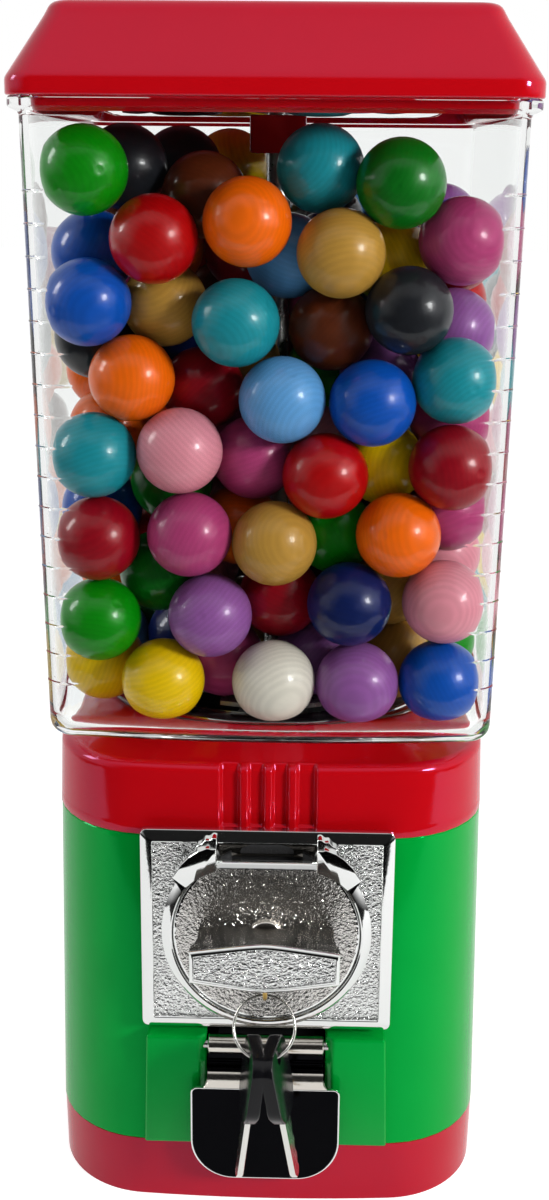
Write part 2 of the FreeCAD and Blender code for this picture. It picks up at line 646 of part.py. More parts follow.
def product_wheel():
    """Ball wheel: six pockets and a ring of crown teeth under its rim."""
    body = rod_z(WHEEL_RADIUS, WHEEL_LOW, WHEEL_HIGH)
    pitch = 2 * math.pi * CROWN_RADIUS / CROWN_TEETH
    tip_z = CROWN_PITCH_Z - 1.6
    root_width = pitch * 0.5 + 2.4 * 0.62 - 0.75
    tip_width = pitch * 0.5 - 1.6 * 0.8 - 0.75
    teeth = []
    for index in range(CROWN_TEETH):
        angle = 2 * math.pi * (index + 0.5) / CROWN_TEETH
        section = [(-root_width / 2, WHEEL_LOW + 0.5), (-tip_width / 2, tip_z), (tip_width / 2, tip_z),
                   (root_width / 2, WHEEL_LOW + 0.5)]
        tooth = prism_y(section, -CROWN_RADIUS - 2.5, -CROWN_RADIUS + 2.5)
        tooth.rotate(V(0, 0, 0), V(0, 0, 1), math.degrees(angle))
        teeth.append(tooth)
    body = join(body, teeth)
    holes = [rod_z(ROD_RADIUS + FIT, 130.0, 170.0)]
    for index in range(POCKETS):
        spot = unit(2 * math.pi * index / POCKETS - math.pi / 2) * POCKET_CENTRE
        holes.append(rod_z(POCKET_RADIUS, 130.0, 170.0, spot.x, spot.y))
    return body.cut(holes)


# ---------------------------------------------------------------- lid and lock
def lid():
    """Hollow lid: upright band, sloped faces, rounded top edge, inner skirt and the centre post."""
    crease = LID_BOTTOM + LID_BAND
    outside = loft([rounded_square(LID_HALF, LID_BOTTOM, 9.0), rounded_square(LID_HALF, crease, 9.0),
                    rounded_square(66.9, 387.6, 6.0), rounded_square(66.0, 389.6, 5.6),
                    rounded_square(LID_TOP_HALF, 391.0, 5.0),
                    rounded_square(LID_TOP_HALF - 2.2, LID_TOP, 4.6)])
    inside = loft([rounded_square(LID_HALF - 2.4, LID_BOTTOM - 1, 6.6),
                   rounded_square(LID_HALF - 2.4, crease - 1, 6.6),
                   rounded_square(64.4, 387.0, 4.0), rounded_square(62.0, 389.1, 3.0)])
    skirt = ring_of(rounded_square, SKIRT_HALF, SKIRT_HALF - 2.0, SKIRT_BOTTOM, crease + 3.0, corner=5.0)
    tie = ring_of(rounded_square, LID_HALF - 2.0, SKIRT_HALF - 0.5, LID_BOTTOM + 0.6, LID_BOTTOM + 2.4,
                  corner=6.0)
    post = box(-POST_HALF, POST_HALF, -POST_HALF, POST_HALF, POST_BOTTOM, 390.0)
    shell = join(outside.cut(inside), [skirt, tie, post])
    bore = box(-7.4, 7.4, -7.4, 7.4, POST_BOTTOM - 1, 376.0)
    return shell.cut([bore, rod_z(8.05, 375.0, 395.0)])


def lock_body():
    barrel = tube_z(8.0, 5.1, 376.2, LID_TOP - 0.6)
    flange = tube_z(8.0, 5.1, LID_TOP - 1.4, LID_TOP - 0.4)
    return join(barrel, [flange])


def lock_plug():
    plug = join(rod_z(5.04, 376.4, LID_TOP - 0.6), [rod_z(1.8, 363.0, 377.0)])
    return plug.cut(box(-2.6, 2.6, -0.5, 0.5, 386.0, LID_TOP + 1))


def lock_cam():
    """Tongue on the plug's tail; in line with the slot it lets the lid go."""
    return box(-4.9, 4.9, -1.6, 1.6, 360.4, 363.0)


# ---------------------------------------------------------------- keys
def ring_frame(distance):
    """Point on the ring's plane, measured down the ring from the hook."""
    return V(0, HOOK_Y - distance * math.sin(RING_LEAN), HOOK_Z - distance * math.cos(RING_LEAN))


def key_ring():
    centre = ring_frame(RING_RADIUS)
    normal = V(0, -math.cos(RING_LEAN), math.sin(RING_LEAN))
    return Part.makeTorus(RING_RADIUS, RING_WIRE, centre, normal)


KEY_HEAD_LENGTH = 25.0
KEY_HEAD_WIDTH = 20.0
KEY_HEAD_THICK = 4.3
KEY_BLADE_LENGTH = 22.0
KEYS = [(-2.4, 5.0), (2.6, -9.0)]


def hang_key(shape, x, lean):
    """Keys are drawn with the ring hole on the Z axis, then leaned and hung on the ring."""
    shape.rotate(V(0, 0, 0), V(0, 1, 0), lean)
    drop = math.sqrt(RING_RADIUS ** 2 - x ** 2)
    place = ring_frame(RING_RADIUS + drop)
    shape.translate(V(x, place.y, place.z))
    return shape


def key_head(x, lean):
    half = KEY_HEAD_WIDTH / 2
    top, low = 4.2, 4.2 - KEY_HEAD_LENGTH
    cut = 3.0
    outline = [(-half + cut, top), (half - cut, top), (half, top - cut), (half, low + 6.0), (half - 4.5, low),
               (-half + 4.5, low), (-half, low + 6.0), (-half, top - cut)]
    head = prism_x(outline, -KEY_HEAD_THICK / 2, KEY_HEAD_THICK / 2)
    slot = box(-1.05, 1.05, -3.6, 3.6, low - 1, low + 8.0)
    return hang_key(head.cut([rod_x(1.9, -5, 5, 0, 0), slot]), x, lean)


def key_blade(x, lean):
    low = 4.2 - KEY_HEAD_LENGTH
    tip = low - KEY_BLADE_LENGTH
    bits = [(3.5, low + 7.9), (3.5, tip + 2.0), (1.5, tip), (-1.0, tip), (-2.4, tip + 2.0), (-1.6, tip + 4.0),
            (-3.0, tip + 6.4), (-1.8, tip + 9.0), (-3.2, tip + 11.5), (-2.2, tip + 14.0), (-3.5, tip + 17.0),
            (-3.5, low + 7.9)]
    return hang_key(prism_x(bits, -0.95, 0.95), x, lean)


def key_heads():
    return Part.makeCompound([key_head(x, lean) for x, lean in KEYS])


def key_blades():
    return Part.makeCompound([key_blade(x, lean) for x, lean in KEYS])


# ---------------------------------------------------------------- balls
# Balls that touch the front glass or sit just behind it: colour, x, height, depth row.
FRONT, SECOND = -59.5, -37.5
SEEN_BALLS = [
    ("green", -57, 344, FRONT), ("black", -45, 345, -33.0), ("brown", -24, 337, SECOND),
    ("orange", -8, 329, FRONT), ("teal", 14, 345, -46.0), ("dark_green", 39, 339, FRONT),
    ("yellow", -17, 344, 24.0), ("black", -33, 345, -5.0), ("blue", 43, 337, -8.0),
    ("magenta", 57, 322, -50.0), ("red", -37, 319, FRONT), ("gold", 19, 317, FRONT),
    ("blue", -56, 316, -31.0), ("yellow", 40, 312, SECOND), ("blue", -57, 299, FRONT),
    ("gold", -34, 301, SECOND), ("teal", -11, 299, FRONT), ("black", 45, 302, -50.0),
    ("purple", 57, 299, -27.0), ("brown", 19, 295, SECOND), ("teal", 57, 283, -52.0),
    ("orange", -43, 280, -52.0), ("crimson", -20, 278, -36.0), ("light_blue", 3, 275, FRONT),
    ("blue", 31, 274, FRONT), ("teal", -57, 257, FRONT), ("pink", -29, 260, FRONT),
    ("magenta", -8, 250, SECOND), ("red", 18, 250, FRONT), ("yellow", 38, 250, SECOND),
    ("crimson", 55, 256, FRONT), ("blue", -57, 238, -32.0), ("dark_green", -40, 241, SECOND),
    ("crimson", -56, 229, FRONT), ("magenta", -22, 233, FRONT), ("gold", 5, 226, FRONT),
    ("orange", 40, 233, FRONT), ("magenta", 56, 233, -33.0), ("dark_green", -38, 213, SECOND),
    ("pink", 55, 212, -55.0), ("green", -55, 201, FRONT), ("purple", -16, 205, FRONT),
    ("navy", 28, 207, FRONT), ("crimson", 6, 201, SECOND), ("yellow", -33, 184, FRONT),
    ("white", 0, 184, FRONT), ("purple", 27, 184, FRONT), ("blue", 55, 184, FRONT),
    ("yellow", -56, 184, -34.0),
]
BALL_COLOURS = ["green", "navy", "brown", "orange", "teal", "dark_green", "magenta", "red", "gold", "blue",
                "yellow", "black", "purple", "crimson", "light_blue", "pink", "white"]


def ball_floor(x, y):
    """Lowest height of a ball's centre: on the canister floor, or deeper over the wheel."""
    from_centre = math.hypot(x, y)
    if from_centre < FLOOR_HOLE_RADIUS - BALL_RADIUS - 0.5 and y > 24.0:
        return WHEEL_HIGH + BALL_RADIUS + 0.2
    if from_centre < FLOOR_HOLE_RADIUS:
        return GUARD_TOP + BALL_RADIUS + 0.1
    return CANISTER_BOTTOM + CANISTER_WALL + BALL_RADIUS + 0.2


def keep_inside(ball):
    """Push one ball back inside the canister and off the centre rod and the lid's post."""
    ball[2] = max(ball[2], ball_floor(ball[0], ball[1]))
    fill_top = FILL_TOP if ball[1] < 0 else FILL_TOP_BEHIND
    ball[2] = min(ball[2], SEEN_TOP if ball[4] else fill_top)
    low = ball[2] - BALL_RADIUS
    limit = canister_half(low) - CANISTER_WALL - BALL_RADIUS - 0.35
    bow = canister_bow(ball[2]) * 0.9
    for axis, other in ((0, 1), (1, 0)):
        reach = limit + bow * max(0.0, 1 - (ball[other] / 58.0) ** 2)
        ball[axis] = max(-reach, min(reach, ball[axis]))
    from_rod = math.hypot(ball[0], ball[1])
    clear = BALL_RADIUS + ROD_RADIUS + 0.3
    if ball[2] + BALL_RADIUS > POST_BOTTOM - 1:
        clear = BALL_RADIUS + POST_HALF * math.sqrt(2) + 0.3
    if from_rod < clear:
        scale = clear / max(from_rod, 0.01)
        ball[0] *= scale
        ball[1] *= scale


def touching_pairs(balls, reach):
    cells = {}
    for index, ball in enumerate(balls):
        cells.setdefault(tuple(int(c // reach) for c in ball[:3]), []).append(index)
    pairs = []
    for (i, j, k), members in cells.items():
        near = [n for di in (-1, 0, 1) for dj in (-1, 0, 1) for dk in (-1, 0, 1)
                for n in cells.get((i + di, j + dj, k + dk), [])]
        for a in members:
            for b in near:
                if a < b and math.dist(balls[a][:3], balls[b][:3]) < reach:
                    pairs.append((a, b))
    return pairs


def spread(balls, rounds, fall):
    """Separate overlapping balls and let them settle."""
    reach = 2 * BALL_RADIUS + BALL_GAP
    for step in range(rounds):
        drop = fall * (1 - step / rounds)
        for ball in balls:
            ball[2] -= drop * (1 - ball[4])
        for a, b in touching_pairs(balls, reach):
            first, second = balls[a], balls[b]
            gap = math.dist(first[:3], second[:3])
            push = (reach - gap) / max(gap, 0.01)
            if push <= 0:
                continue
            share = 0.5 + 0.48 * (first[4] - second[4])
            for axis in range(3):
                shift = (second[axis] - first[axis]) * push
                first[axis] -= shift * (1 - share)
                second[axis] += shift * share
        for ball in balls:
            keep_inside(ball)


def pack_balls():
    """Seen balls first, then a jittered lattice behind them, settled until nothing overlaps."""
    chance = random.Random(11)
    balls = [[float(x), float(y), float(z), colour, 1.0] for colour, x, z, y in SEEN_BALLS]
    spacing = 26.6
    for layer in range(9):
        z = 176.0 + layer * spacing * 0.745
        shift = spacing / 2 * (layer % 2)
        for i in range(6):
            for j in range(6):
                x = -66.0 + shift + i * spacing + chance.uniform(-1.5, 1.5)
                y = -40.0 + shift + j * spacing * 0.99 + chance.uniform(-1.5, 1.5)
                if abs(x) > 59 or abs(y) > 59:
                    continue
                if min(math.dist((x, y, z), ball[:3]) for ball in balls) < 17.5:
                    continue
                balls.append([x, y, z, chance.choice(BALL_COLOURS), 0.0])
    spread(balls, 120, 0.35)
    while True:
        spread(balls, 60, 0.0)
        overlaps = [(2 * BALL_RADIUS - math.dist(balls[a][:3], balls[b][:3]), a, b)
                    for a, b in touching_pairs(balls, 2 * BALL_RADIUS)]
        if not overlaps or max(overlaps)[0] < 0.005:
            return balls
        worst = max(overlaps)
        balls.pop(worst[1] if balls[worst[1]][4] == 0.0 else worst[2])


def ball_nodes():
    balls = pack_balls()
    print("balls", len(balls))
    nodes = {}
    for x, y, z, colour, _ in balls:
        sphere = Part.makeSphere(BALL_RADIUS, V(x, y, z))
        nodes.setdefault("balls_" + colour, []).append(sphere)
    return {name: Part.makeCompound(spheres) for name, spheres in nodes.items()}


# ---------------------------------------------------------------- write every node
PIECES = [
    base_pan, base_screws, housing, collar, wheel_housing, ball_guard,
    canister, centre_rod, rod_nut, rod_washer, latch_bracket,
    chute, cash_tray, door_hinge_pin, flap_door,
    face_plate, mech_frame, mech_screws, dial, handle, coin_wheel,
    drive_shaft, drive_gear, shaft_clip, handle_screw, idler_gear, idler_pinion, idler_shaft, product_wheel,
    lid, lock_body, lock_plug, lock_cam, key_ring, key_heads, key_blades,
]

for piece in PIECES:
    save(piece(), piece.__name__)

for name, group in ball_nodes().items():
    save(group, name)
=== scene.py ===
"""Looks of the counter-top gumball machine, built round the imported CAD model.

Lengths are millimetres in the builder functions and are turned into metres where a mesh is made.
"""
import math
import random

import bmesh
import bpy
from mathutils import Euler, Matrix, Vector, noise


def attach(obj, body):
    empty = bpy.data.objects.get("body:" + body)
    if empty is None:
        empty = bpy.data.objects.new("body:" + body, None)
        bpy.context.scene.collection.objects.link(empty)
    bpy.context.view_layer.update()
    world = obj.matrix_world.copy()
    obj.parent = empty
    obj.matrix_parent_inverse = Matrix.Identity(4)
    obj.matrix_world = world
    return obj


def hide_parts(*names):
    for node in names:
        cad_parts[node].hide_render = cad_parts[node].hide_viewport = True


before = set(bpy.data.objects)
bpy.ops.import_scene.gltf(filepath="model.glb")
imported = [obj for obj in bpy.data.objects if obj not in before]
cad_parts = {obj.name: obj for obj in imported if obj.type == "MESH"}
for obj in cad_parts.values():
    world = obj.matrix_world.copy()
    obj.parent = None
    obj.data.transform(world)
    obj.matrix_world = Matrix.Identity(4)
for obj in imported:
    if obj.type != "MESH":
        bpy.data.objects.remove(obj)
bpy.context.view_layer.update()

MM = 0.001

# ---------------- sizes in mm, heights from the floor
STRAIGHT = 1e5
SIDE_RADIUS = 600.0
CORNER = 33.0
WALL = 2.6
BASE_TOP = 22.0
HOUSING_TOP = 135.0
HOUSING_LOW_HALF = 75.1
HOUSING_HIGH_HALF = 73.3
COLLAR_LOW_HALF = 73.5
COLLAR_HIGH_HALF = 72.9
COLLAR_SHOULDER = 156.4
SEAT_TOP = 164.5
SEAT_RADIUS = 62.5
SEAT_BORE = 57.3
# Columns of the collar's front, close together where the vent panel is, and the panel's ribs.
FRONT_X = [-34.0, -28.0, -23.0] + [k * 0.4 - 18.0 for k in range(91)] + [23.0, 28.0, 34.0]
RIB_X = (-7.8, 0.0, 7.8)

CAN_BOTTOM = 166.9
CAN_TOP = 364.5
CAN_LOW_Z = 171.9
CAN_HIGH_Z = 360.0
CAN_LOW_HALF = 71.2
CAN_HIGH_HALF = 74.3
CAN_WALL = 2.5
CAN_CORNER = 8.0
CAN_BOW_LOW = 3.6
CAN_BOW_HIGH = 1.1
CAN_HOLE = 50.0
TICK_FIRST = 186.0
TICK_PITCH = 9.5
TICK_COUNT = 17

LID_HALF = 78.2

MECH_Z = 105.5
PLATE_HALF = 41.0
PLATE_LOW = 69.0
PLATE_HIGH = 139.9
PLATE_BACK = -75.8
FIELD_Y = -78.3
CREST_Y = -79.6
FRAME_WIDTH = 4.1
BEZEL_RADIUS = 34.0
BEZEL_Y = -82.0
BEZEL_LIP_Y = -83.6
DIAL_BORE = 30.45
DIAL_RADIUS = 30.1
DIAL_FRONT = -83.0
DIAL_BACK = -80.2
DIAL_FLAT = 25.3
HUB_SHARE = 0.19
SLOT_HALF = 16.0
ENTRY_HALF = 15.3
ARCH_HALF = 8.6
GRIP_PANEL_HALF = 21.8
GRIP_PANEL_Y = -103.62
# Stepped plates beside the coin slot: where the near one starts to overhang, its lean, the outlines.
FIN_BACK = -84.0
FIN_LEAN = 0.15
FIN_NEAR = [(15.9, 129.0), (15.9, 137.2), (17.4, 137.0), (18.6, 137.5), (20.6, 136.6), (22.0, 136.0),
            (24.6, 134.0), (27.4, 130.8), (30.2, 126.2), (25.8, 122.4), (21.6, 126.2)]
FIN_NEAR_FOOT = [(15.9, 131.9)] + FIN_NEAR[1:9] + [(27.1, 120.8), (22.6, 126.7)]
FIN_FAR = [(15.9, 132.0), (15.9, 139.0), (17.2, 139.2), (18.4, 138.2), (19.6, 138.4), (20.8, 137.0),
           (22.2, 136.4), (23.4, 134.6), (24.0, 132.0)]

DOOR_PIVOT = (-76.5, 61.5)
DOOR_HALF = 24.9
DOOR_NECK = 19.2
DOOR_FRONT = -82.2
DOOR_SHEET = 1.2
DOOR_LOW = 13.8
DOOR_SHOULDER = 48.5
MOUTH_HALF = 19.8
CHEEK_FRONT = -80.0
CHEEK_FOOT = -75.2
CHEEK_TOP = 66.0
CHEEK_LOW_HALF = 41.2
CHEEK_HIGH_HALF = 39.6

RING_RADIUS = 9.7
RING_LEAN = math.radians(31.0)
HOOK = (-92.8, 90.0)
BALL_RADIUS = 13.5
GRAIN_SHADE = 0.90
# Degrees from one end of a ball's turning axis to the other, close together at the ends.
POLE_STEPS = [2.0, 4.2, 6.4, 8.6] + [8.6 + 6.8 * k for k in range(1, 24)] + [171.4, 173.6, 175.8, 178.0]

# ---------------- studio, in metres and radians
LAMP_TARGET = (0, 0, 0.22)
AMBIENT_SIDE = 0.105
AMBIENT_TOP = 0.54
FLOOR_SEEN = 0.75
FLOOR_MIRRORED = 0.40
FLOOR_LIGHT = 0.22
CAMERA_PLACE = (0.0106, -0.50375, 0.3447)
CAMERA_PITCH = math.radians(14.35)
CAMERA_YAW = math.radians(1.234)
CAMERA_ROLL = math.radians(0.50)
CAMERA_LENS = 43.5
CAMERA_SHIFT = -0.05


# ---------------- meshes
def link(name, data):
    """New object in the scene."""
    piece = bpy.data.objects.new(name, data)
    bpy.context.scene.collection.objects.link(piece)
    return piece


def make(name, parts, materials, body, stands_for=(), sharp=35.0):
    """One piece from (points, faces, material number) parts, in millimetres, with outward faces."""
    points, faces, numbers = [], [], []
    for part_points, part_faces, number in parts:
        first = len(points)
        points += [(x * MM, y * MM, z * MM) for x, y, z in part_points]
        faces += [[first + i for i in face] for face in part_faces]
        numbers += [number] * len(part_faces)
    mesh = bpy.data.meshes.new(name)
    mesh.from_pydata(points, [], faces)
    for polygon, number in zip(mesh.polygons, numbers):
        polygon.material_index = number
    work = bmesh.new()
    work.from_mesh(mesh)
    bmesh.ops.recalc_face_normals(work, faces=work.faces)
    work.to_mesh(mesh)
    work.free()
    mesh.shade_smooth()
    mesh.set_sharp_from_angle(angle=math.radians(sharp))
    for material in materials:
        mesh.materials.append(material)
    piece = link(name, mesh)
    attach(piece, body)
    if stands_for:
        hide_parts(*stands_for)
    return piece


def skin(rings, closed=False):
    """Surface through rings of equal length, capped, or closed by joining the last ring to the first."""
    count = len(rings[0])
    points = [point for ring in rings for point in ring]
    faces = []
    for row in range(len(rings) if closed else len(rings) - 1):
        a, b = row * count, (row + 1) % len(rings) * count
        for i in range(count):
            j = (i + 1) % count
            faces.append((a + i, a + j, b + j, b + i))
    if not closed:
        last = (len(rings) - 1) * count
        faces.append([i for i in range(count)][::-1])
        faces.append([last + i for i in range(count)])
    return [(points, faces, 0)]


def outline(half, z, corner, side_radius=STRAIGHT, front=None, side_steps=12, corner_steps=8):
    """Square with gently bulged sides and round corners, from the front left corner anticlockwise."""
    offset = side_radius - half
    reach = side_radius - corner
    turn = math.acos(offset / (reach * math.sqrt(2))) - math.pi / 4
    points = []
    for side in range(4):
        facing = (side - 1) * math.pi / 2
        cx, cy = -offset * math.cos(facing), -offset * math.sin(facing)
        angles = [turn * (2 * k / side_steps - 1) for k in range(side_steps + 1)]
        if side == 0 and front:
            angles = [-turn] + [math.asin(x / side_radius) for x in front] + [turn]
        for angle in angles:
            points.append((cx + side_radius * math.cos(facing + angle),
                           cy + side_radius * math.sin(facing + angle), z))
        mx, my = cx + reach * math.cos(facing + turn), cy + reach * math.sin(facing + turn)
        sweep = math.pi / 2 - 2 * turn
        for k in range(1, corner_steps):
            angle = facing + turn + sweep * k / corner_steps
            points.append((mx + corner * math.cos(angle), my + corner * math.sin(angle), z))
    return points


def round_like(ring, radius, z):
    """Circle with its points in the same directions as those of another ring."""
    angles = [math.atan2(y, x) for x, y, _ in ring]
    return [(radius * math.cos(a), radius * math.sin(a), z) for a in angles]


def facing_front(points_2d, y):
    """An (x, z) outline at depth y."""
    return [(x, y, z) for x, z in points_2d]


def rounded_polygon(corners, radius, steps=4):
    """Polygon whose corners are replaced by arcs of about the given radius."""
    points = []
    for index, corner in enumerate(corners):
        before, after = Vector(corners[index - 1]), Vector(corners[(index + 1) % len(corners)])
        here = Vector(corner)
        reach = min(radius, (before - here).length * 0.45, (after - here).length * 0.45)
        start = here + (before - here).normalized() * reach
        end = here + (after - here).normalized() * reach
        for k in range(steps + 1):
            t = k / steps
            points.append(tuple(start * (1 - t) ** 2 + here * 2 * t * (1 - t) + end * t * t))
    return points


def inset(points, distance):
    """Closed 2-D outline moved inwards, whichever way round it runs."""
    area = sum(a[0] * b[1] - b[0] * a[1] for a, b in zip(points, points[1:] + points[:1]))
    sign = 1.0 if area > 0 else -1.0
    moved = []
    for index, point in enumerate(points):
        before, after = Vector(points[index - 1]), Vector(points[(index + 1) % len(points)])
        here = Vector(point)
        first, second = (here - before), (after - here)
        normals = [Vector((-edge.y, edge.x)).normalized() * sign
                   for edge in (first, second) if edge.length > 1e-9]
        normal = sum(normals, Vector((0, 0))).normalized()
        stretch = max(0.5, normal.dot(normals[0]))
        moved.append(tuple(here + normal * distance / stretch))
    return moved


def turns(count):
    """Angles round a full turn."""
    return [2 * math.pi * k / count for k in range(count)]


def lathe(profile, centre, segments=96):
    """(radius, y) outline turned round an axis along Y through (x, z) = centre."""
    rings = []
    for angle in turns(segments):
        rings.append([(centre[0] + r * math.sin(angle), y, centre[1] + r * math.cos(angle))
                      for r, y in profile])
    return skin(rings, closed=True)


def tube(path, radius, sides=12, closed=False):
    """Round wire along a path of points."""
    rings = []
    count = len(path)
    up = Vector((0, 0, 1))
    side = None
    for index, point in enumerate(path):
        here = Vector(point)
        if closed:
            along = Vector(path[(index + 1) % count]) - Vector(path[index - 1])
        else:
            along = Vector(path[min(index + 1, count - 1)]) - Vector(path[max(index - 1, 0)])
        along.normalize()
        if side is None:
            side = along.cross(up if abs(along.z) < 0.9 else Vector((0, 1, 0))).normalized()
        side = (side - along * side.dot(along)).normalized()
        other = along.cross(side)
        rings.append([tuple(here + (side * math.cos(a) + other * math.sin(a)) * radius)
                      for a in turns(sides)])
    return skin(rings, closed=closed)


def smooth_step(low, high, value):
    t = max(0.0, min(1.0, (value - low) / (high - low)))
    return t * t * (3 - 2 * t)


# ---------------- materials
def add(tree, kind, values=None, **settings):
    node = tree.nodes.new(kind)
    for key, value in settings.items():
        setattr(node, key, value)
    for socket, value in (values or {}).items():
        if isinstance(value, bpy.types.NodeSocket):
            tree.links.new(value, node.inputs[socket])
        else:
            node.inputs[socket].default_value = value
    return node


def blank(name, **sockets):
    material = bpy.data.materials.new(name)
    material.use_nodes = True
    shader = material.node_tree.nodes["Principled BSDF"]
    for socket, value in sockets.items():
        shader.inputs[socket.replace("_", " ")].default_value = value
    return material, material.node_tree, shader


def rgb(colour, scale=1.0):
    return tuple(min(1.0, c * scale) for c in colour) + (1.0,)


def spread_range(tree, factor, low, high):
    """Map a 0..1 factor to low..high."""
    return add(tree, "ShaderNodeMapRange", {"Value": factor, "To Min": low, "To Max": high}).outputs[0]


def calculate(tree, operation, first, second):
    return add(tree, "ShaderNodeMath", {0: first, 1: second}, operation=operation).outputs[0]


def noise_factor(tree, place, scale, detail, roughness=0.5):
    values = {"Vector": place, "Scale": scale, "Detail": detail, "Roughness": roughness}
    return add(tree, "ShaderNodeTexNoise", values).outputs["Fac"]


def object_place(tree):
    return add(tree, "ShaderNodeTexCoord").outputs["Object"]


def scaled(tree, place, scale):
    return add(tree, "ShaderNodeMapping", {"Vector": place, "Scale": scale}).outputs[0]


def choose(tree, factor, first, second):
    """The first number where the factor is 0 and the second where it is 1."""
    return add(tree, "ShaderNodeMix", {0: factor, 2: first, 3: second}).outputs[0]


def blend_colours(tree, factor, first, second, blend_type="MIX"):
    node = add(tree, "ShaderNodeMix", {0: factor}, data_type="RGBA", blend_type=blend_type)
    for socket, colour in zip([s for s in node.inputs if s.type == "RGBA"], (first, second)):
        if isinstance(colour, bpy.types.NodeSocket):
            tree.links.new(colour, socket)
        else:
            socket.default_value = colour
    return [s for s in node.outputs if s.type == "RGBA"][0]


def raise_surface(tree, shader, height, strength):
    """Bump from a height field."""
    bump = add(tree, "ShaderNodeBump", {"Height": height, "Strength": strength, "Distance": 0.001})
    tree.links.new(bump.outputs[0], shader.inputs["Normal"])


def let_through(tree, shader, share, clear):
    """Where share is 1, light goes straight through instead of meeting the shader."""
    mixed = add(tree, "ShaderNodeMixShader", {0: share, 1: shader.outputs[0], 2: clear.outputs[0]})
    tree.links.new(mixed.outputs[0], tree.nodes["Material Output"].inputs["Surface"])


def surface(name, colour, rough, tint=0.9, mottle=60.0, peel=(900.0, 0.02), scratches=0.0, creased=False,
            **sockets):
    """Plastic or metal: soft colour variation, uneven gloss, fine surface relief and faint scratches."""
    material, tree, shader = blank(name, **sockets)
    place = object_place(tree)
    cloud = noise_factor(tree, place, mottle, 4.0)
    mixed = blend_colours(tree, cloud, rgb(colour, tint), rgb(colour))
    tree.links.new(mixed, shader.inputs["Base Color"])
    smudge = noise_factor(tree, place, mottle * 0.6, 6.0, 0.7)
    tree.links.new(spread_range(tree, smudge, rough[0], rough[1]), shader.inputs["Roughness"])
    height = noise_factor(tree, place, peel[0], 3.0)
    if creased:
        height = calculate(tree, "ABSOLUTE", calculate(tree, "SUBTRACT", height, 0.5), 0.0)
    if scratches:
        lines = noise_factor(tree, scaled(tree, place, (2600.0, 2600.0, 60.0)), 1.0, 2.0)
        height = calculate(tree, "ADD", height, spread_range(tree, lines, 0.0, scratches))
    raise_surface(tree, shader, height, peel[1])
    return material


def clear_plastic():
    """Clear moulded plastic that lets the lamps' light through."""
    material, tree, shader = blank("clear_plastic", Transmission_Weight=1.0, IOR=1.49,
                                   Specular_Tint=(0.5, 0.5, 0.5, 1), Base_Color=(0.97, 0.98, 0.975, 1))
    haze = noise_factor(tree, object_place(tree), 35.0, 6.0)
    haze_range = add(tree, "ShaderNodeMapRange", {"Value": haze, "From Min": 0.62, "From Max": 0.8,
                                                  "To Min": 0.0, "To Max": 0.012}).outputs[0]
    tree.links.new(haze_range, shader.inputs["Roughness"])
    clear = add(tree, "ShaderNodeBsdfTransparent", {"Color": (0.95, 0.955, 0.95, 1)})
    path = add(tree, "ShaderNodeLightPath").outputs
    guided = calculate(tree, "GREATER_THAN", path["Glossy Depth"], 1.5)
    scattered = calculate(tree, "GREATER_THAN", path["Diffuse Depth"], 0.5)
    either = calculate(tree, "MAXIMUM", guided, scattered)
    let_through(tree, shader, calculate(tree, "MAXIMUM", either, path["Is Shadow Ray"]), clear)
    return material


def painted_wood(name, colour):
    """Stained and varnished wooden ball: growth rings, fibres and a satin coat."""
    material, tree, shader = blank(name, Coat_Weight=0.5, Coat_Roughness=0.06, Specular_IOR_Level=0.15)
    grain = add(tree, "ShaderNodeAttribute", attribute_name="grain").outputs["Vector"]
    stretched = scaled(tree, grain, (1.0, 1.0, 0.12))
    sway = noise_factor(tree, stretched, 0.09, 3.0)
    wave = {"Vector": stretched, "Scale": 0.2, "Distortion": 1.6, "Detail": 1.0, "Detail Scale": 0.6}
    rings = add(tree, "ShaderNodeTexWave", wave, wave_type="RINGS", rings_direction="Z").outputs["Fac"]
    fibre = noise_factor(tree, scaled(tree, grain, (1.9, 1.9, 0.13)), 1.0, 5.0, 0.65)
    both = calculate(tree, "MULTIPLY", rings, fibre)
    blend = add(tree, "ShaderNodeMapRange", {"Value": both, "From Min": 0.05, "From Max": 0.55,
                                             "To Min": 0.0, "To Max": 1.0}).outputs[0]
    shade = blend_colours(tree, blend, rgb(colour, GRAIN_SHADE), rgb(colour))
    stain = spread_range(tree, sway, 0.0, 0.35)
    shade = blend_colours(tree, stain, shade, (0.72, 0.70, 0.68, 1.0), "MULTIPLY")
    tree.links.new(shade, shader.inputs["Base Color"])
    tree.links.new(spread_range(tree, fibre, 0.26, 0.40), shader.inputs["Roughness"])
    raise_surface(tree, shader, calculate(tree, "ADD", fibre, rings), 0.018)
    return material


RED = surface("red_shell", (0.46, 0.002, 0.005), (0.06, 0.13), tint=0.93, peel=(420.0, 0.03),
              Specular_Tint=(1.0, 0.42, 0.90, 1.0))
GREEN = surface("green_shell", (0.0005, 0.31, 0.034), (0.07, 0.15), tint=0.90, peel=(420.0, 0.03),
                Specular_Tint=(0.0, 1.0, 0.30, 1.0))
BLACK = surface("black_plastic", (0.012, 0.012, 0.013), (0.28, 0.5), tint=0.6, peel=(1500.0, 0.08))
KEY_BLACK = surface("key_plastic", (0.004, 0.004, 0.005), (0.10, 0.24), tint=0.7, peel=(1200.0, 0.05),
                    scratches=0.4, Specular_IOR_Level=0.22)
CHROME = surface("chrome", (0.86, 0.87, 0.86), (0.03, 0.11), tint=0.95, peel=(240.0, 0.02), Metallic=1.0)
CAST_CHROME = surface("crinkled_chrome", (0.93, 0.94, 0.93), (0.03, 0.08), tint=0.93, peel=(640.0, 1.0),
                      creased=True, Metallic=1.0)
SATIN_CHROME = surface("satin_chrome", (0.74, 0.70, 0.64), (0.12, 0.22), tint=0.88, peel=(1800.0, 0.03),
                       scratches=0.4, Metallic=1.0)
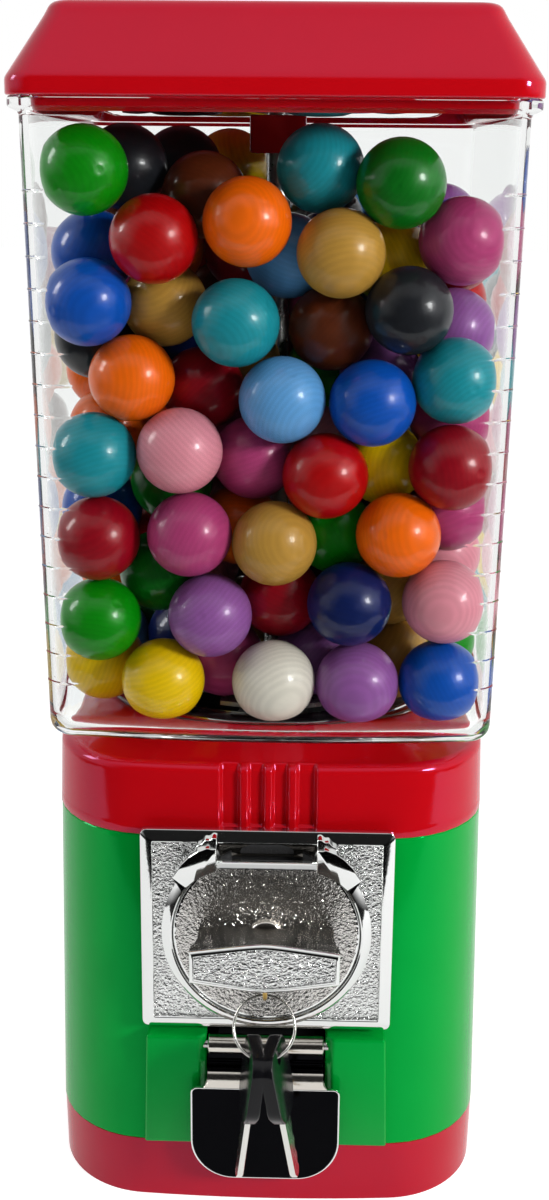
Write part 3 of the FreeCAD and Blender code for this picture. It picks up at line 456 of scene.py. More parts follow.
DIAL_CHROME = surface("dial_chrome", (0.80, 0.78, 0.75), (0.10, 0.18), tint=0.88, peel=(760.0, 0.7),
                      creased=True, Metallic=1.0)
DARK_CHROME = surface("dark_chrome", (0.12, 0.112, 0.10), (0.12, 0.24), tint=0.8, peel=(1500.0, 0.12),
                      scratches=0.4, Metallic=1.0)
# Near-black polished metal for the flap's front face; on the flap's neck it is also painted shade in the
# upper bend.
BLACK_MIRROR_AND_PAINTED_SHADE = surface("black_mirror_and_painted_shade", (0.0045, 0.0045, 0.0055), (0.05, 0.14), tint=0.7, peel=(180.0, 0.02),
                       scratches=0.25, Metallic=1.0)
STEEL = surface("steel", (0.62, 0.62, 0.61), (0.20, 0.36), tint=0.85, peel=(1600.0, 0.06), scratches=0.8,
                Metallic=1.0)
DARK_CAST = surface("dark_casting", (0.16, 0.16, 0.165), (0.32, 0.5), tint=0.7, peel=(1300.0, 0.2),
                    Metallic=1.0)
BRASS = surface("brass", (0.62, 0.40, 0.12), (0.2, 0.36), tint=0.8, peel=(1500.0, 0.08), scratches=0.6,
                Metallic=1.0)
NICKEL = surface("nickel", (0.80, 0.79, 0.75), (0.10, 0.22), tint=0.88, peel=(1500.0, 0.05), scratches=0.6,
                 Metallic=1.0)
CLEAR = clear_plastic()

# Colour of each kind of ball; the grain is GRAIN_SHADE as bright.
WOOD_COLOURS = {
    "green": (0.001, 0.215, 0.002), "navy": (0.003, 0.010, 0.075), "brown": (0.085, 0.016, 0.004),
    "orange": (0.82, 0.125, 0.001), "teal": (0.008, 0.235, 0.285), "dark_green": (0.001, 0.125, 0.006),
    "magenta": (0.38, 0.042, 0.150), "red": (0.38, 0.001, 0.002), "gold": (0.44, 0.235, 0.04),
    "blue": (0.002, 0.070, 0.40), "yellow": (0.74, 0.48, 0.001), "black": (0.010, 0.011, 0.014),
    "purple": (0.25, 0.085, 0.30), "crimson": (0.25, 0.001, 0.008), "light_blue": (0.10, 0.30, 0.60),
    "pink": (0.66, 0.24, 0.30), "white": (0.66, 0.62, 0.54),
}
WOODS = {name: painted_wood(name + "_wood", colour) for name, colour in WOOD_COLOURS.items()}


# ---------------- clear canister
def can_share(z):
    return (z - CAN_LOW_Z) / (CAN_HIGH_Z - CAN_LOW_Z)


def can_half(z):
    """Half width at the corners; the sides bow out beyond it."""
    return CAN_LOW_HALF + can_share(z) * (CAN_HIGH_HALF - CAN_LOW_HALF)


def can_section(z, shrink=0.0, inward=0.0, grow=0.0):
    """Plan of the canister at a height, smaller by shrink, or moved inwards by the wall."""
    corner = CAN_CORNER - shrink * 0.6
    half = can_half(z) - shrink + grow
    bow_out = CAN_BOW_LOW + can_share(z) * (CAN_BOW_HIGH - CAN_BOW_LOW)
    side_radius = (half - corner) ** 2 / (2 * bow_out)
    return outline(half + bow_out - inward, z, corner - inward, side_radius - inward, side_steps=20,
                   corner_steps=14)


def canister():
    reference = can_section(CAN_LOW_Z)

    def hoops(rows):
        return [round_like(reference, radius, z) for radius, z in rows]

    def sections(rows, inward=0.0):
        return [can_section(z, shrink, inward) for z, shrink in rows]

    rings = hoops(((CAN_HOLE + 0.4, CAN_BOTTOM), (58.4, CAN_BOTTOM), (58.9, 166.5), (59.1, 164.9),
                   (59.5, 164.55), (61.5, 164.55), (61.9, 164.9), (62.1, 166.5), (62.6, CAN_BOTTOM)))
    rings += sections(((CAN_BOTTOM, 5.2), (167.05, 3.6), (167.7, 2.1), (168.8, 1.0), (170.2, 0.3),
                       (171.9, 0.0), (172.6, 0.0)))
    tick = ((-0.62, 0.0), (-0.42, 0.0), (-0.16, 0.30), (0.16, 0.30), (0.42, 0.0), (0.62, 0.0))
    for index in range(TICK_COUNT):
        for step, raised in tick:
            z = TICK_FIRST + index * TICK_PITCH + step
            half = can_half(z)
            rings.append([raised_point if raised_point[1] < 5.0 - half and abs(raised_point[0]) > half - 6.4
                          else point
                          for raised_point, point in zip(can_section(z, grow=raised), can_section(z))])
    rings += sections(((358.9, 0.0), (359.4, 0.0)))
    rings += [outline(half, z, corner, side_steps=20, corner_steps=14) for half, z, corner in
              ((74.8, 360.3, 8.6), (76.8, 361.2, 9.6), (77.3, 361.6, 10.0), (77.4, 362.2, 10.0),
               (77.4, 364.0, 10.0), (77.0, CAN_TOP, 9.8))]
    rings += sections(((CAN_TOP, 0.0),), CAN_WALL - 0.5)
    rings += sections(((364.0, 0.0), (363.5, 0.0), (330.0, 0.0), (290.0, 0.0), (250.0, 0.0), (210.0, 0.0),
                       (178.0, 0.0), (175.2, 0.0), (174.2, 0.2), (172.0, 0.9), (170.3, 2.0), (169.5, 3.6)),
                      CAN_WALL)
    rings += hoops(((61.0, 169.4), (CAN_HOLE + 0.5, 169.4), (CAN_HOLE, 168.9), (CAN_HOLE, 167.3)))
    make("canister_clear", skin(rings, closed=True), [CLEAR], "machine", ["canister"])


# ---------------- red and green mouldings
def lid():
    reference = outline(LID_HALF, 0, 9.0)
    rows = [(30.0, 391.5, 4.0), (62.3, 391.5, 4.6), (63.5, 391.35, 4.8), (64.6, 390.9, 5.0),
            (65.4, 390.2, 5.3), (66.0, 389.3, 5.6), (66.5, 388.3, 5.9), (67.2, 387.0, 6.2),
            (71.8, 379.3, 7.4), (76.5, 371.5, 8.8), (77.3, 370.3, 9.3), (77.65, 369.5, 9.5),
            (77.75, 368.8, 9.5), (77.75, 365.3, 9.5), (77.6, 364.9, 9.3), (77.2, 364.7, 8.9),
            (76.2, 364.7, 7.0), (75.8, 365.0, 6.6), (75.8, 365.6, 6.6), (71.3, 365.6, 5.0),
            (71.2, 362.1, 5.0), (70.9, 361.8, 5.0), (70.4, 361.7, 4.8), (69.6, 361.8, 4.0),
            (69.4, 362.1, 3.9), (69.2, 379.4, 3.8), (64.4, 386.9, 4.0), (62.0, 389.0, 3.0),
            (10.4, 389.0, 2.2), (9.6, 388.4, 1.9), (9.3, 387.4, 1.6), (9.3, 350.4, 1.6),
            (9.1, 350.0, 1.5), (8.7, 349.8, 1.3), (7.8, 349.8, 0.9), (7.4, 350.2, 0.7),
            (7.4, 376.0, 0.7)]
    rings = [round_like(reference, radius, z) for radius, z in ((8.05, 376.0), (8.05, 391.2), (8.35, 391.5))]
    rings += [outline(half, z, corner) for half, z, corner in rows]
    make("lid_shell", skin(rings, closed=True), [RED], "lid_unit", ["lid"], sharp=50.0)


def recess_depth(x, z):
    """How far the vent panel in the collar's front is sunk at this place, with its three ribs."""
    across = 1.0 - smooth_step(14.7, 15.9, abs(x))
    along = smooth_step(138.0, 139.0, z) * (1.0 - smooth_step(158.4, 160.4, z))
    rib = max(1.0 - smooth_step(0.9, 2.1, abs(x - centre)) for centre in RIB_X)
    return 2.1 * across * along * (1.0 - 0.92 * rib)


def collar():
    rows = [(COLLAR_LOW_HALF - 0.15, 135.0, CORNER), (COLLAR_LOW_HALF, 135.3, CORNER),
            (COLLAR_LOW_HALF - 0.05, 138.0, CORNER)]
    fall = (COLLAR_LOW_HALF - COLLAR_HIGH_HALF) / (COLLAR_SHOULDER - HOUSING_TOP)
    for k in range(30):
        z = 138.4 + 0.6 * k
        rows.append((COLLAR_LOW_HALF - (z - HOUSING_TOP) * fall, z, CORNER))
    rows += [(72.9, 156.4, 33.0), (72.85, 157.1, 33.0), (72.6, 157.8, 32.8), (72.2, 158.4, 32.5),
             (71.6, 158.95, 32.0), (70.9, 159.35, 31.4), (70.1, 159.6, 30.8), (69.7, 159.65, 30.4)]
    rings = []
    for half, z, corner in rows:
        ring = outline(half, z, corner, SIDE_RADIUS, FRONT_X)
        rings.append([(x, y + (recess_depth(x, z) if y < -60 else 0.0), z) for x, y, z in ring])
    last = rings[-1]
    cone_foot = []
    for x, y, z in last:
        away = math.hypot(x, y)
        radius = min(68.9, away - 0.4)
        cone_foot.append((x / away * radius, y / away * radius, 159.75))
    rings.append(cone_foot)
    rings += [round_like(last, radius, z) for radius, z in
              ((SEAT_RADIUS + 0.5, SEAT_TOP - 0.25), (SEAT_RADIUS, SEAT_TOP), (SEAT_BORE + 0.3, SEAT_TOP),
               (SEAT_BORE, SEAT_TOP - 0.3), (SEAT_BORE, 156.0))]
    rings += [outline(half, z, CORNER - WALL, SIDE_RADIUS, FRONT_X) for half, z in
              ((69.7, 156.0), (70.5, HOUSING_TOP))]
    make("collar_shell", skin(rings, closed=True), [RED], "machine", ["collar"], sharp=60.0)


def cut(piece, low, high):
    """Cut a box out of a piece and keep the result as its mesh."""
    corners = [(x * MM, y * MM, z * MM) for z in (low[2], high[2]) for x, y in
               ((low[0], low[1]), (high[0], low[1]), (high[0], high[1]), (low[0], high[1]))]
    cutter_mesh = bpy.data.meshes.new("cutter")
    faces = [(3, 2, 1, 0), (4, 5, 6, 7), (0, 1, 5, 4), (1, 2, 6, 5), (2, 3, 7, 6), (3, 0, 4, 7)]
    cutter_mesh.from_pydata(corners, [], faces)
    cutter = link("cutter", cutter_mesh)
    step = piece.modifiers.new("cut", "BOOLEAN")
    step.operation = "DIFFERENCE"
    step.solver = "EXACT"
    step.object = cutter
    bpy.context.view_layer.update()
    result = bpy.data.meshes.new_from_object(piece.evaluated_get(bpy.context.evaluated_depsgraph_get()))
    piece.modifiers.clear()
    result.name = piece.data.name
    piece.data = result
    bpy.data.objects.remove(cutter)


def housing_half(z):
    share = (z - BASE_TOP) / (HOUSING_TOP - BASE_TOP)
    return HOUSING_LOW_HALF + share * (HOUSING_HIGH_HALF - HOUSING_LOW_HALF)


def housing():
    rows = [(0.25, 22.1), (0.0, 22.4)] + [(0.0, z) for z in range(28, 134, 7)] + [(0.0, 134.4), (0.25, 134.8)]
    rings = [outline(housing_half(z) - back, z, CORNER, SIDE_RADIUS) for back, z in rows]
    rings += [outline(housing_half(z) - WALL, z, CORNER - WALL, SIDE_RADIUS) for z in (134.8, 78.0, 22.1)]
    shell = make("housing_shell", skin(rings, closed=True), [GREEN], "machine", ["housing"])
    cut(shell, (-33, -90, 73.0), (33, -60, 131.5))
    cut(shell, (-MOUTH_HALF, -90, 24.0), (MOUTH_HALF, -60, CHEEK_TOP + 0.6))
    rows = ((22.0, 0.5), (22.3, 0.15), (22.8, 0.0), (44.0, 0.0), (64.9, 0.0), (65.5, 0.15), (65.85, 0.4),
            (66.0, 0.8))
    for side, name in ((-1, "left"), (1, "right")):
        rings = []
        for z, back in rows:
            share = (z - BASE_TOP) / (CHEEK_TOP - BASE_TOP)
            front = CHEEK_FOOT + share * (CHEEK_FRONT - CHEEK_FOOT)
            outer = CHEEK_LOW_HALF + share * (CHEEK_HIGH_HALF - CHEEK_LOW_HALF)
            plan = [(MOUTH_HALF, -71.0), (MOUTH_HALF, front + 2.5), (MOUTH_HALF + 2.5, front), (outer, front),
                    (outer, -71.0)]
            edge = rounded_polygon(plan, 0.9)
            edge = inset(edge, back) if back else edge
            rings.append([(side * x, y, z) for x, y in edge])
        make("housing_cheek_" + name, skin(rings), [GREEN], "machine")


# ---------------- balls
def islands(mesh):
    """Centre of every separate part of a mesh."""
    parent = list(range(len(mesh.vertices)))

    def find(i):
        while parent[i] != i:
            parent[i] = parent[parent[i]]
            i = parent[i]
        return i

    for edge in mesh.edges:
        a, b = find(edge.vertices[0]), find(edge.vertices[1])
        if a != b:
            parent[a] = b
    groups = {}
    for vertex in mesh.vertices:
        groups.setdefault(find(vertex.index), []).append(vertex.co)
    centres = []
    for members in groups.values():
        low = Vector([min(p[a] for p in members) for a in range(3)])
        high = Vector([max(p[a] for p in members) for a in range(3)])
        centres.append((low + high) / 2 / MM)
    return centres


def ball_points():
    """Turned wooden ball: a faint flat and lathe ring at each end of its axis."""
    rings = []
    for degrees in POLE_STEPS:
        angle = math.radians(degrees)
        from_pole = min(degrees, 180.0 - degrees)
        ridge = 0.05 if 5.0 < from_pole < 8.0 else 0.0
        radius = BALL_RADIUS - 0.02 - (0.16 * (1.0 - smooth_step(2.0, 9.0, from_pole)) - ridge)
        across, along = radius * math.sin(angle), radius * math.cos(angle)
        rings.append([Vector((across * math.cos(turn), across * math.sin(turn), along))
                      for turn in turns(40)])
    return rings


def balls():
    chance = random.Random(7)
    template = ball_points()
    for colour in sorted(WOOD_COLOURS):
        node = "balls_" + colour
        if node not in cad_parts:
            continue
        parts, grain = [], []
        centres = sorted(islands(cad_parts[node].data),
                         key=lambda c: (round(c.z, 1), round(c.x, 1), c.y))
        for centre in centres:
            turn = Euler([chance.uniform(0, 2 * math.pi) for _ in range(3)]).to_matrix()
            heart = Vector([chance.uniform(-60, 60), chance.uniform(-60, 60), chance.uniform(-900, 900)])
            lean = Euler([chance.uniform(-0.5, 0.5) for _ in range(3)]).to_matrix()
            rings = [[tuple(centre + turn @ point) for point in ring] for ring in template]
            parts += skin(rings)
            grain += [lean @ point + heart for ring in template for point in ring]
        piece = make("wooden_" + node, parts, [WOODS[colour]], "machine", [node],
                     sharp=80.0)
        field = piece.data.attributes.new("grain", "FLOAT_VECTOR", "POINT")
        field.data.foreach_set("vector", [c for point in grain for c in point])


# ---------------- coin mechanism
def crinkle(a, b):
    """Height of the cast leather pattern, in mm, at a place on a plate."""
    bend = noise.noise(Vector((a * 0.55, b * 0.55, 3.0))) * 0.9
    worm = noise.noise(Vector((a * 0.85 + bend, b * 1.35 - bend, 0.0)))
    fine = noise.noise(Vector((a * 1.9, b * 2.6, 9.0)))
    return 0.15 * (1.0 - abs(worm) * 3.0) + 0.05 * fine


def cell_plate(xs, zs, keep, height, y_front, y_back):
    """Closed plate from the kept cells of a grid, its front raised by height(x, z)."""
    used = {}
    points, faces = [], []

    def corner(i, k, front):
        key = (i, k, front)
        if key not in used:
            used[key] = len(points)
            y = y_front - height(xs[i], zs[k]) if front else y_back
            points.append((xs[i], y, zs[k]))
        return used[key]

    kept = {(i, k) for i in range(len(xs) - 1) for k in range(len(zs) - 1)
            if keep((xs[i] + xs[i + 1]) / 2, (zs[k] + zs[k + 1]) / 2)}
    for i, k in sorted(kept):
        around = [(i, k), (i + 1, k), (i + 1, k + 1), (i, k + 1)]
        faces.append([corner(a, b, True) for a, b in around])
        faces.append([corner(a, b, False) for a, b in reversed(around)])
        for side, (di, dk) in enumerate(((0, -1), (1, 0), (0, 1), (-1, 0))):
            if (i + di, k + dk) not in kept:
                p, q = around[side], around[(side + 1) % 4]
                faces.append([corner(*q, True), corner(*p, True), corner(*p, False), corner(*q, False)])
    return [(points, faces, 0)]


def frange(low, high, count):
    return [low + (high - low) * k / count for k in range(count + 1)]


def rectangle(back, corner):
    x, low, high = PLATE_HALF - back, PLATE_LOW + back, PLATE_HIGH - back
    return rounded_polygon([(-x, low), (x, low), (x, high), (-x, high)], corner, 6)


def face_plate():
    crest, foot = FRAME_WIDTH - 0.45, CREST_Y + 1.15
    profile = [(0.0, PLATE_BACK, 2.6), (0.0, foot + 0.45, 2.6), (0.1, foot + 0.15, 2.5),
               (0.35, foot - 0.05, 2.3), (crest - 0.4, CREST_Y + 0.08, 0.9), (crest, CREST_Y, 0.8),
               (crest + 0.25, CREST_Y + 0.08, 0.7),
               (FRAME_WIDTH, CREST_Y + 0.35, 0.6), (FRAME_WIDTH, FIELD_Y + 0.05, 0.5),
               (FRAME_WIDTH, PLATE_BACK, 0.5)]
    frame_rings = [facing_front(rectangle(back, corner), y) for back, y, corner in profile]
    inner_x = PLATE_HALF - FRAME_WIDTH + 0.2
    inner_low, inner_high = PLATE_LOW + FRAME_WIDTH - 0.2, PLATE_HIGH - FRAME_WIDTH + 0.2

    def on_field(x, z):
        away = math.hypot(x, z - MECH_Z)
        in_slot = abs(x) < SLOT_HALF - 0.4 and z > MECH_Z + 20
        return away > BEZEL_RADIUS - 1.6 and not in_slot

    field = cell_plate(frange(-inner_x, inner_x, 250), frange(inner_low, inner_high, 212), on_field, crinkle,
                       FIELD_Y, PLATE_BACK + 0.3)
    make("face_plate_frame", skin(frame_rings, closed=True), [CHROME], "machine", ["face_plate"],
         sharp=25.0)
    make("face_plate_field", field, [CAST_CHROME], "machine", sharp=70.0)
    bezel()
    slot_fins()
    coin_entry()


def bezel():
    """Polished cone round the dial, open at the coin slot."""
    half_gap = math.asin(SLOT_HALF / BEZEL_RADIUS)
    rings = []
    count = 220
    for k in range(count + 1):
        angle = half_gap + (2 * math.pi - 2 * half_gap) * k / count
        edge = [(DIAL_BORE, PLATE_BACK), (BEZEL_RADIUS, PLATE_BACK), (BEZEL_RADIUS, FIELD_Y),
                (BEZEL_RADIUS - 0.1, BEZEL_Y + 0.35), (BEZEL_RADIUS - 0.5, BEZEL_Y - 0.05),
                (DIAL_BORE + 0.95, BEZEL_LIP_Y + 0.1), (DIAL_BORE + 0.55, BEZEL_LIP_Y),
                (DIAL_BORE + 0.2, BEZEL_LIP_Y + 0.12), (DIAL_BORE, BEZEL_LIP_Y + 0.5)]
        rings.append([(r * math.sin(angle), y, MECH_Z + r * math.cos(angle)) for r, y in edge])
    make("face_plate_bezel", skin(rings), [CHROME], "machine", sharp=30.0)


def slot_fins():
    """Two stepped plates at each side of the coin slot; the near one hangs a little over the dial."""
    parts = []
    for side in (-1, 1):
        for foot, seen, step, front, lean in ((FIN_NEAR_FOOT, FIN_NEAR, FIN_BACK, -84.1, FIN_LEAN),
                                              (FIN_FAR, FIN_FAR, -80.5, -82.4, 0.04)):
            low = min(z for _, z in seen)
            rings = []
            for corners, back, y, tilt in ((foot, 0.0, FIELD_Y + 0.6, 0.0), (foot, 0.0, step, 0.0),
                                           (seen, 0.0, step, 0.0), (seen, 0.0, front + 0.05, lean),
                                           (seen, 0.1, front - 0.1, lean), (seen, 0.3, front - 0.2, lean)):
                edge = rounded_polygon([(side * x, z) for x, z in corners], 0.5, 3)
                edge = inset(edge, back) if back else edge
                rings.append([(x, y - tilt * (z - low), z) for x, z in edge])
            parts += skin(rings)
    make("face_plate_slot_fins", parts, [CHROME], "machine", sharp=30.0)


def coin_entry():
    """Dark coin entry above the dial: sloped cheeks, arched opening and black throat."""
    low, high = MECH_Z + DIAL_FLAT + 0.7, PLATE_HIGH - FRAME_WIDTH - 0.2
    arch = []
    for k in range(25):
        t = math.pi * k / 24
        arch.append((ARCH_HALF * math.cos(t), low + 0.9 + 3.0 * math.sin(t) ** 0.8))
    arch += [(-ARCH_HALF, low + 0.4), (ARCH_HALF, low + 0.4)]
    centre = (0.0, low + 1.6)
    shown = []
    for x, z in arch:
        dx, dz = x - centre[0], z - centre[1]
        reach = ENTRY_HALF / abs(dx) if abs(dx) > 1e-6 else 1e9
        if abs(dz) > 1e-6:
            reach = min(reach, ((high - centre[1]) if dz > 0 else (centre[1] - low)) / abs(dz))
        shown.append((centre[0] + dx * reach, centre[1] + dz * reach))
    middle = [((a[0] * 0.35 + b[0] * 0.65), (a[1] * 0.35 + b[1] * 0.65)) for a, b in zip(shown, arch)]
    rings = [facing_front(edge, y) for edge, y in
             ((shown, -77.2), (shown, -79.3), (middle, -78.4), (arch, -78.2), (arch, -77.2))]
    make("face_plate_coin_entry", skin(rings, closed=True), [DARK_CHROME], "machine", sharp=25.0)
    back = rounded_polygon([(-ENTRY_HALF, low), (ENTRY_HALF, low), (ENTRY_HALF, high), (-ENTRY_HALF, high)],
                           0.5)
    rings = [facing_front(inset(back, inward), y) for inward, y in
             ((0.2, -76.0), (0.0, -76.2), (0.0, -76.9), (0.2, -77.1))]
    make("face_plate_throat", skin(rings), [BLACK], "machine", sharp=25.0)


def dial():
    """Textured disc with a polished rim and chord bar, and the hub behind the handle."""
    segments, rows = 420, 84
    rings = []
    angles = turns(segments)
    limits = [min(DIAL_RADIUS, DIAL_FLAT / math.cos(a)) if math.cos(a) > 0.2 else DIAL_RADIUS for a in angles]
    for row in range(rows + 1):
        share = HUB_SHARE + 0.81 * row / rows
        ring = []
        for angle, limit in zip(angles, limits):
            radius = limit * share
            x, z = radius * math.sin(angle), radius * math.cos(angle)
            edge = limit - radius
            flat_edge = DIAL_FLAT - z
            calm = min(smooth_step(0.5, 1.0, edge), smooth_step(1.6, 2.0, flat_edge))
            bar = -0.45 + 1.25 * min(flat_edge, 1.6) / 1.6 if flat_edge < 1.75 else 0.0
            rise = calm * crinkle(x + 40, z) + bar * smooth_step(0.0, 0.4, edge + 0.2)
            ring.append((x, DIAL_FRONT - rise + (0.3 if row == rows else 0.0), MECH_Z + z))
        rings.append(ring)
    rings.append([(x, DIAL_BACK, z) for x, _, z in rings[-1]])
    rings.append([(x * HUB_SHARE, DIAL_BACK, MECH_Z + (z - MECH_Z) * HUB_SHARE) for x, _, z in rings[-1]])
    disc = make("dial_disc", skin(rings, closed=True), [DIAL_CHROME, CHROME], "handle_unit",
                ["dial"], sharp=70.0)
    for polygon in disc.data.polygons:
        x, _, z = polygon.center / MM
        if math.hypot(x, z - MECH_Z) > DIAL_RADIUS - 0.8 or z - MECH_Z > DIAL_FLAT - 1.7:
            polygon.material_index = 1
    profile = [(4.0, -80.4), (5.9, -80.4), (5.9, -84.7), (5.6, -85.1), (5.0, -85.3), (4.0, -85.3)]
    make("dial_hub", lathe(profile, (0.0, MECH_Z)), [SATIN_CHROME], "handle_unit", sharp=40.0)
    hook = [(0.0, y, z) for y, z in
            ((-83.4, 99.2), (-86.0, 99.3), (-89.6, 98.8), (-92.6, 97.4), (-94.6, 94.8), (-94.9, 91.8),
             (-94.0, 89.6), (-92.4, 88.9), (-91.0, 89.6), (-90.6, 91.2), (-91.2, 92.6))]
    make("dial_hook", tube(smooth_path(hook, 6), 0.7), [BRASS], "handle_unit", sharp=60.0)


def smooth_path(points, steps):
    """Catmull-Rom line through the points."""
    path = []
    for index in range(len(points) - 1):
        p0 = Vector(points[max(index - 1, 0)])
        p1, p2 = Vector(points[index]), Vector(points[index + 1])
        p3 = Vector(points[min(index + 2, len(points) - 1)])
        for k in range(steps):
            t = k / steps
            path.append(tuple(((2 * p1) + (p2 - p0) * t + (2 * p0 - 5 * p1 + 4 * p2 - p3) * t * t
                               + (3 * p1 - p0 - 3 * p2 + p3) * t ** 3) / 2))
    path.append(tuple(points[-1]))
    return path


def peak(u, end, middle):
    """Height of the grip's edge at u from -1 to 1: lowest at the ends, softly peaked in the middle."""
    return end + (middle - end) * (1.0 - math.sqrt(u * u + 0.02)) / (1.0 - math.sqrt(0.02))


def bow(half_x, end, middle, steps=18):
    """Outline of the grip: straight ends and peaked edges."""
    top = [(half_x * u, peak(u, end, middle)) for u in (1.0 - 2.0 * k / steps for k in range(steps + 1))]
    side = [(-half_x, -end + 2 * end * k / 8) for k in range(7, 0, -1)]
    return top + side + [(-x, -z) for x, z in top + side]


def handle():
    sections = [(DIAL_FRONT + 0.6, 21.8, 2.5, 4.0), (-86.0, 21.6, 2.2, 3.9), (-90.0, 21.8, 2.3, 4.0),
                (-94.0, 22.4, 3.1, 4.5), (-97.0, 22.9, 4.2, 5.3), (-99.4, 23.15, 4.9, 6.3),
                (-101.2, 23.25, 5.2, 7.4), (-102.1, 23.3, 5.3, 8.0), (-102.6, 23.3, 5.35, 8.2),
                (-103.1, 23.3, 5.35, 8.25), (-103.45, 23.15, 5.2, 8.1), (-103.75, 22.85, 4.9, 7.8),
                (-103.98, 22.5, 4.55, 7.45), (-104.08, 22.2, 4.3, 7.2), (-104.05, 22.0, 4.1, 7.0),
                (-103.85, 21.85, 3.95, 6.88), (-103.45, 21.7, 3.75, 6.7)]
    rings = [facing_front([(x, MECH_Z + z) for x, z in bow(half, end, middle)], y)
             for y, half, end, middle in sections]
    grip = make("handle_grip", skin(rings), [DARK_CHROME, CHROME], "handle_unit", ["handle"],
                sharp=32.0)
    ears_from, rim_from = -0.088, -0.1022
    for polygon in grip.data.polygons:
        depth = polygon.center.y
        if depth < rim_from or (abs(polygon.normal.x) > 0.4 and depth < ears_from):
            polygon.material_index = 1
    make("handle_panel", grip_panel(), [CAST_CHROME], "handle_unit", sharp=70.0)


def grip_panel():
    """Crinkled sheet in the grip's front, with its flat back and edge."""
    across, up = 170, 50
    row = across + 1
    points, faces = [], []
    for k in range(up + 1):
        for i in range(row):
            u = 2.0 * i / across - 1.0
            edge = peak(u, 3.9, 6.9)
            x, z = GRIP_PANEL_HALF * u, edge * (2.0 * k / up - 1.0)
            rim = min(smooth_step(0.0, 0.7, GRIP_PANEL_HALF - abs(x)), smooth_step(0.0, 0.6, edge - abs(z)))
            points.append((x, GRIP_PANEL_Y - 0.9 * crinkle(x - 90, z * 1.15) * rim, MECH_Z + z))
    back = len(points)
    points += [(x, -102.7, z) for x, _, z in points]
    for k in range(up):
        for i in range(across):
            a = k * row + i
            faces.append((a, a + 1, a + row + 1, a + row))
            faces.append((back + a + row, back + a + row + 1, back + a + 1, back + a))
    loop = (list(range(across)) + [k * row + across for k in range(up)]
            + [up * row + i for i in range(across, 0, -1)] + [k * row for k in range(up, 0, -1)])
    for a, b in zip(loop, loop[1:] + loop[:1]):
        faces.append((b, a, back + a, back + b))
    return [(points, faces, 0)]


# ---------------- delivery door
def arc(cx, cz, radius, start, end, steps=14):
    """Points from one angle to another, in degrees."""
    angles = [math.radians(start + (end - start) * k / steps) for k in range(steps + 1)]
    return [(cx + radius * math.cos(a), cz + radius * math.sin(a)) for a in angles]


def flap_door():
    y, z = DOOR_PIVOT
    left, right = -DOOR_HALF, DOOR_HALF
    big, small = 14.5, 2.2
    edge = (arc(left + big, DOOR_LOW + big, big, 180, 270) + arc(right - big, DOOR_LOW + big, big, 270, 360)
            + arc(right - small, DOOR_SHOULDER - small, small, 0, 90, 6)
            + arc(left + small, DOOR_SHOULDER - small, small, 90, 180, 6))
    back = DOOR_FRONT + DOOR_SHEET
    rows = [(0.25, back), (0.0, back - 0.25), (0.0, DOOR_FRONT + 0.3), (0.08, DOOR_FRONT + 0.08),
            (0.25, DOOR_FRONT), (0.42, DOOR_FRONT + 0.02), (0.55, DOOR_FRONT + 0.1)]
    points, faces, _ = skin([facing_front(inset(edge, inward) if inward else edge, depth)
                             for inward, depth in rows])[0]
    front_face = faces.pop()
    parts = [(points, faces, 0), (points, [front_face], 1)]
    make("flap_panel", parts, [CHROME, BLACK_MIRROR_AND_PAINTED_SHADE], "flap", ["flap_door"], sharp=30.0)
    neck = make("flap_neck", flap_neck(y, z), [SATIN_CHROME, BLACK_MIRROR_AND_PAINTED_SHADE], "flap", sharp=40.0)
    # Painted shade: the neck's faces above this height get the near-black material, standing in for the
    # shadow in the concave bend under the knuckle.
    painted_shade_above = 0.0539
    for polygon in neck.data.polygons:
        polygon.material_index = int(polygon.center.z > painted_shade_above)
    knuckle = []
    for x, radius in ((-DOOR_NECK, 2.6), (-DOOR_NECK, 3.0), (-DOOR_NECK + 0.3, 3.3), (DOOR_NECK - 0.3, 3.3),
                      (DOOR_NECK, 3.0), (DOOR_NECK, 2.6), (DOOR_NECK, 1.58), (-DOOR_NECK, 1.58)):
        knuckle.append([(x, y + radius * math.cos(a), z + radius * math.sin(a)) for a in turns(40)])
    make("flap_knuckle", skin(knuckle, closed=True), [SATIN_CHROME], "flap", sharp=40.0)


def flap_neck(y, z):
    """Sheet from the knuckle at (y, z) down to the panel, folded twice and wider at its foot."""
    sheet_line = smooth_path([(y - 0.6, z - 2.6), (y - 0.5, z - 4.6), (y - 0.6, z - 6.2), (y - 1.6, z - 7.2),
                              (-79.6, 54.1), (-80.9, 53.5), (-81.7, 52.3), (-82.0, 50.8), (-81.8, 49.2),
                              (-81.5, 47.6), (-81.5, 45.4)], 5)
    profile = []
    for sign in (-1, 1):
        line = []
        for index, point in enumerate(sheet_line):
            before, after = sheet_line[max(index - 1, 0)], sheet_line[min(index + 1, len(sheet_line) - 1)]
            along = Vector((after[0] - before[0], after[1] - before[1])).normalized()
            line.append((point[0] + sign * 0.5 * along.y, point[1] - sign * 0.5 * along.x))
        profile += line if sign < 0 else line[::-1]
    rings = []
    for x in [-1.0, -0.985] + frange(-0.96, 0.96, 12) + [0.985, 1.0]:
        ring = []
        for depth, height in profile:
            flare = 1.6 * (1.0 - smooth_step(47.4, 50.6, height))
            ring.append((x * (DOOR_NECK + flare), depth, height))
        rings.append(ring)
    return skin(rings)


# ---------------- keys
def ring_point(distance):
    return Vector((0, HOOK[0] - distance * math.sin(RING_LEAN), HOOK[1] - distance * math.cos(RING_LEAN)))


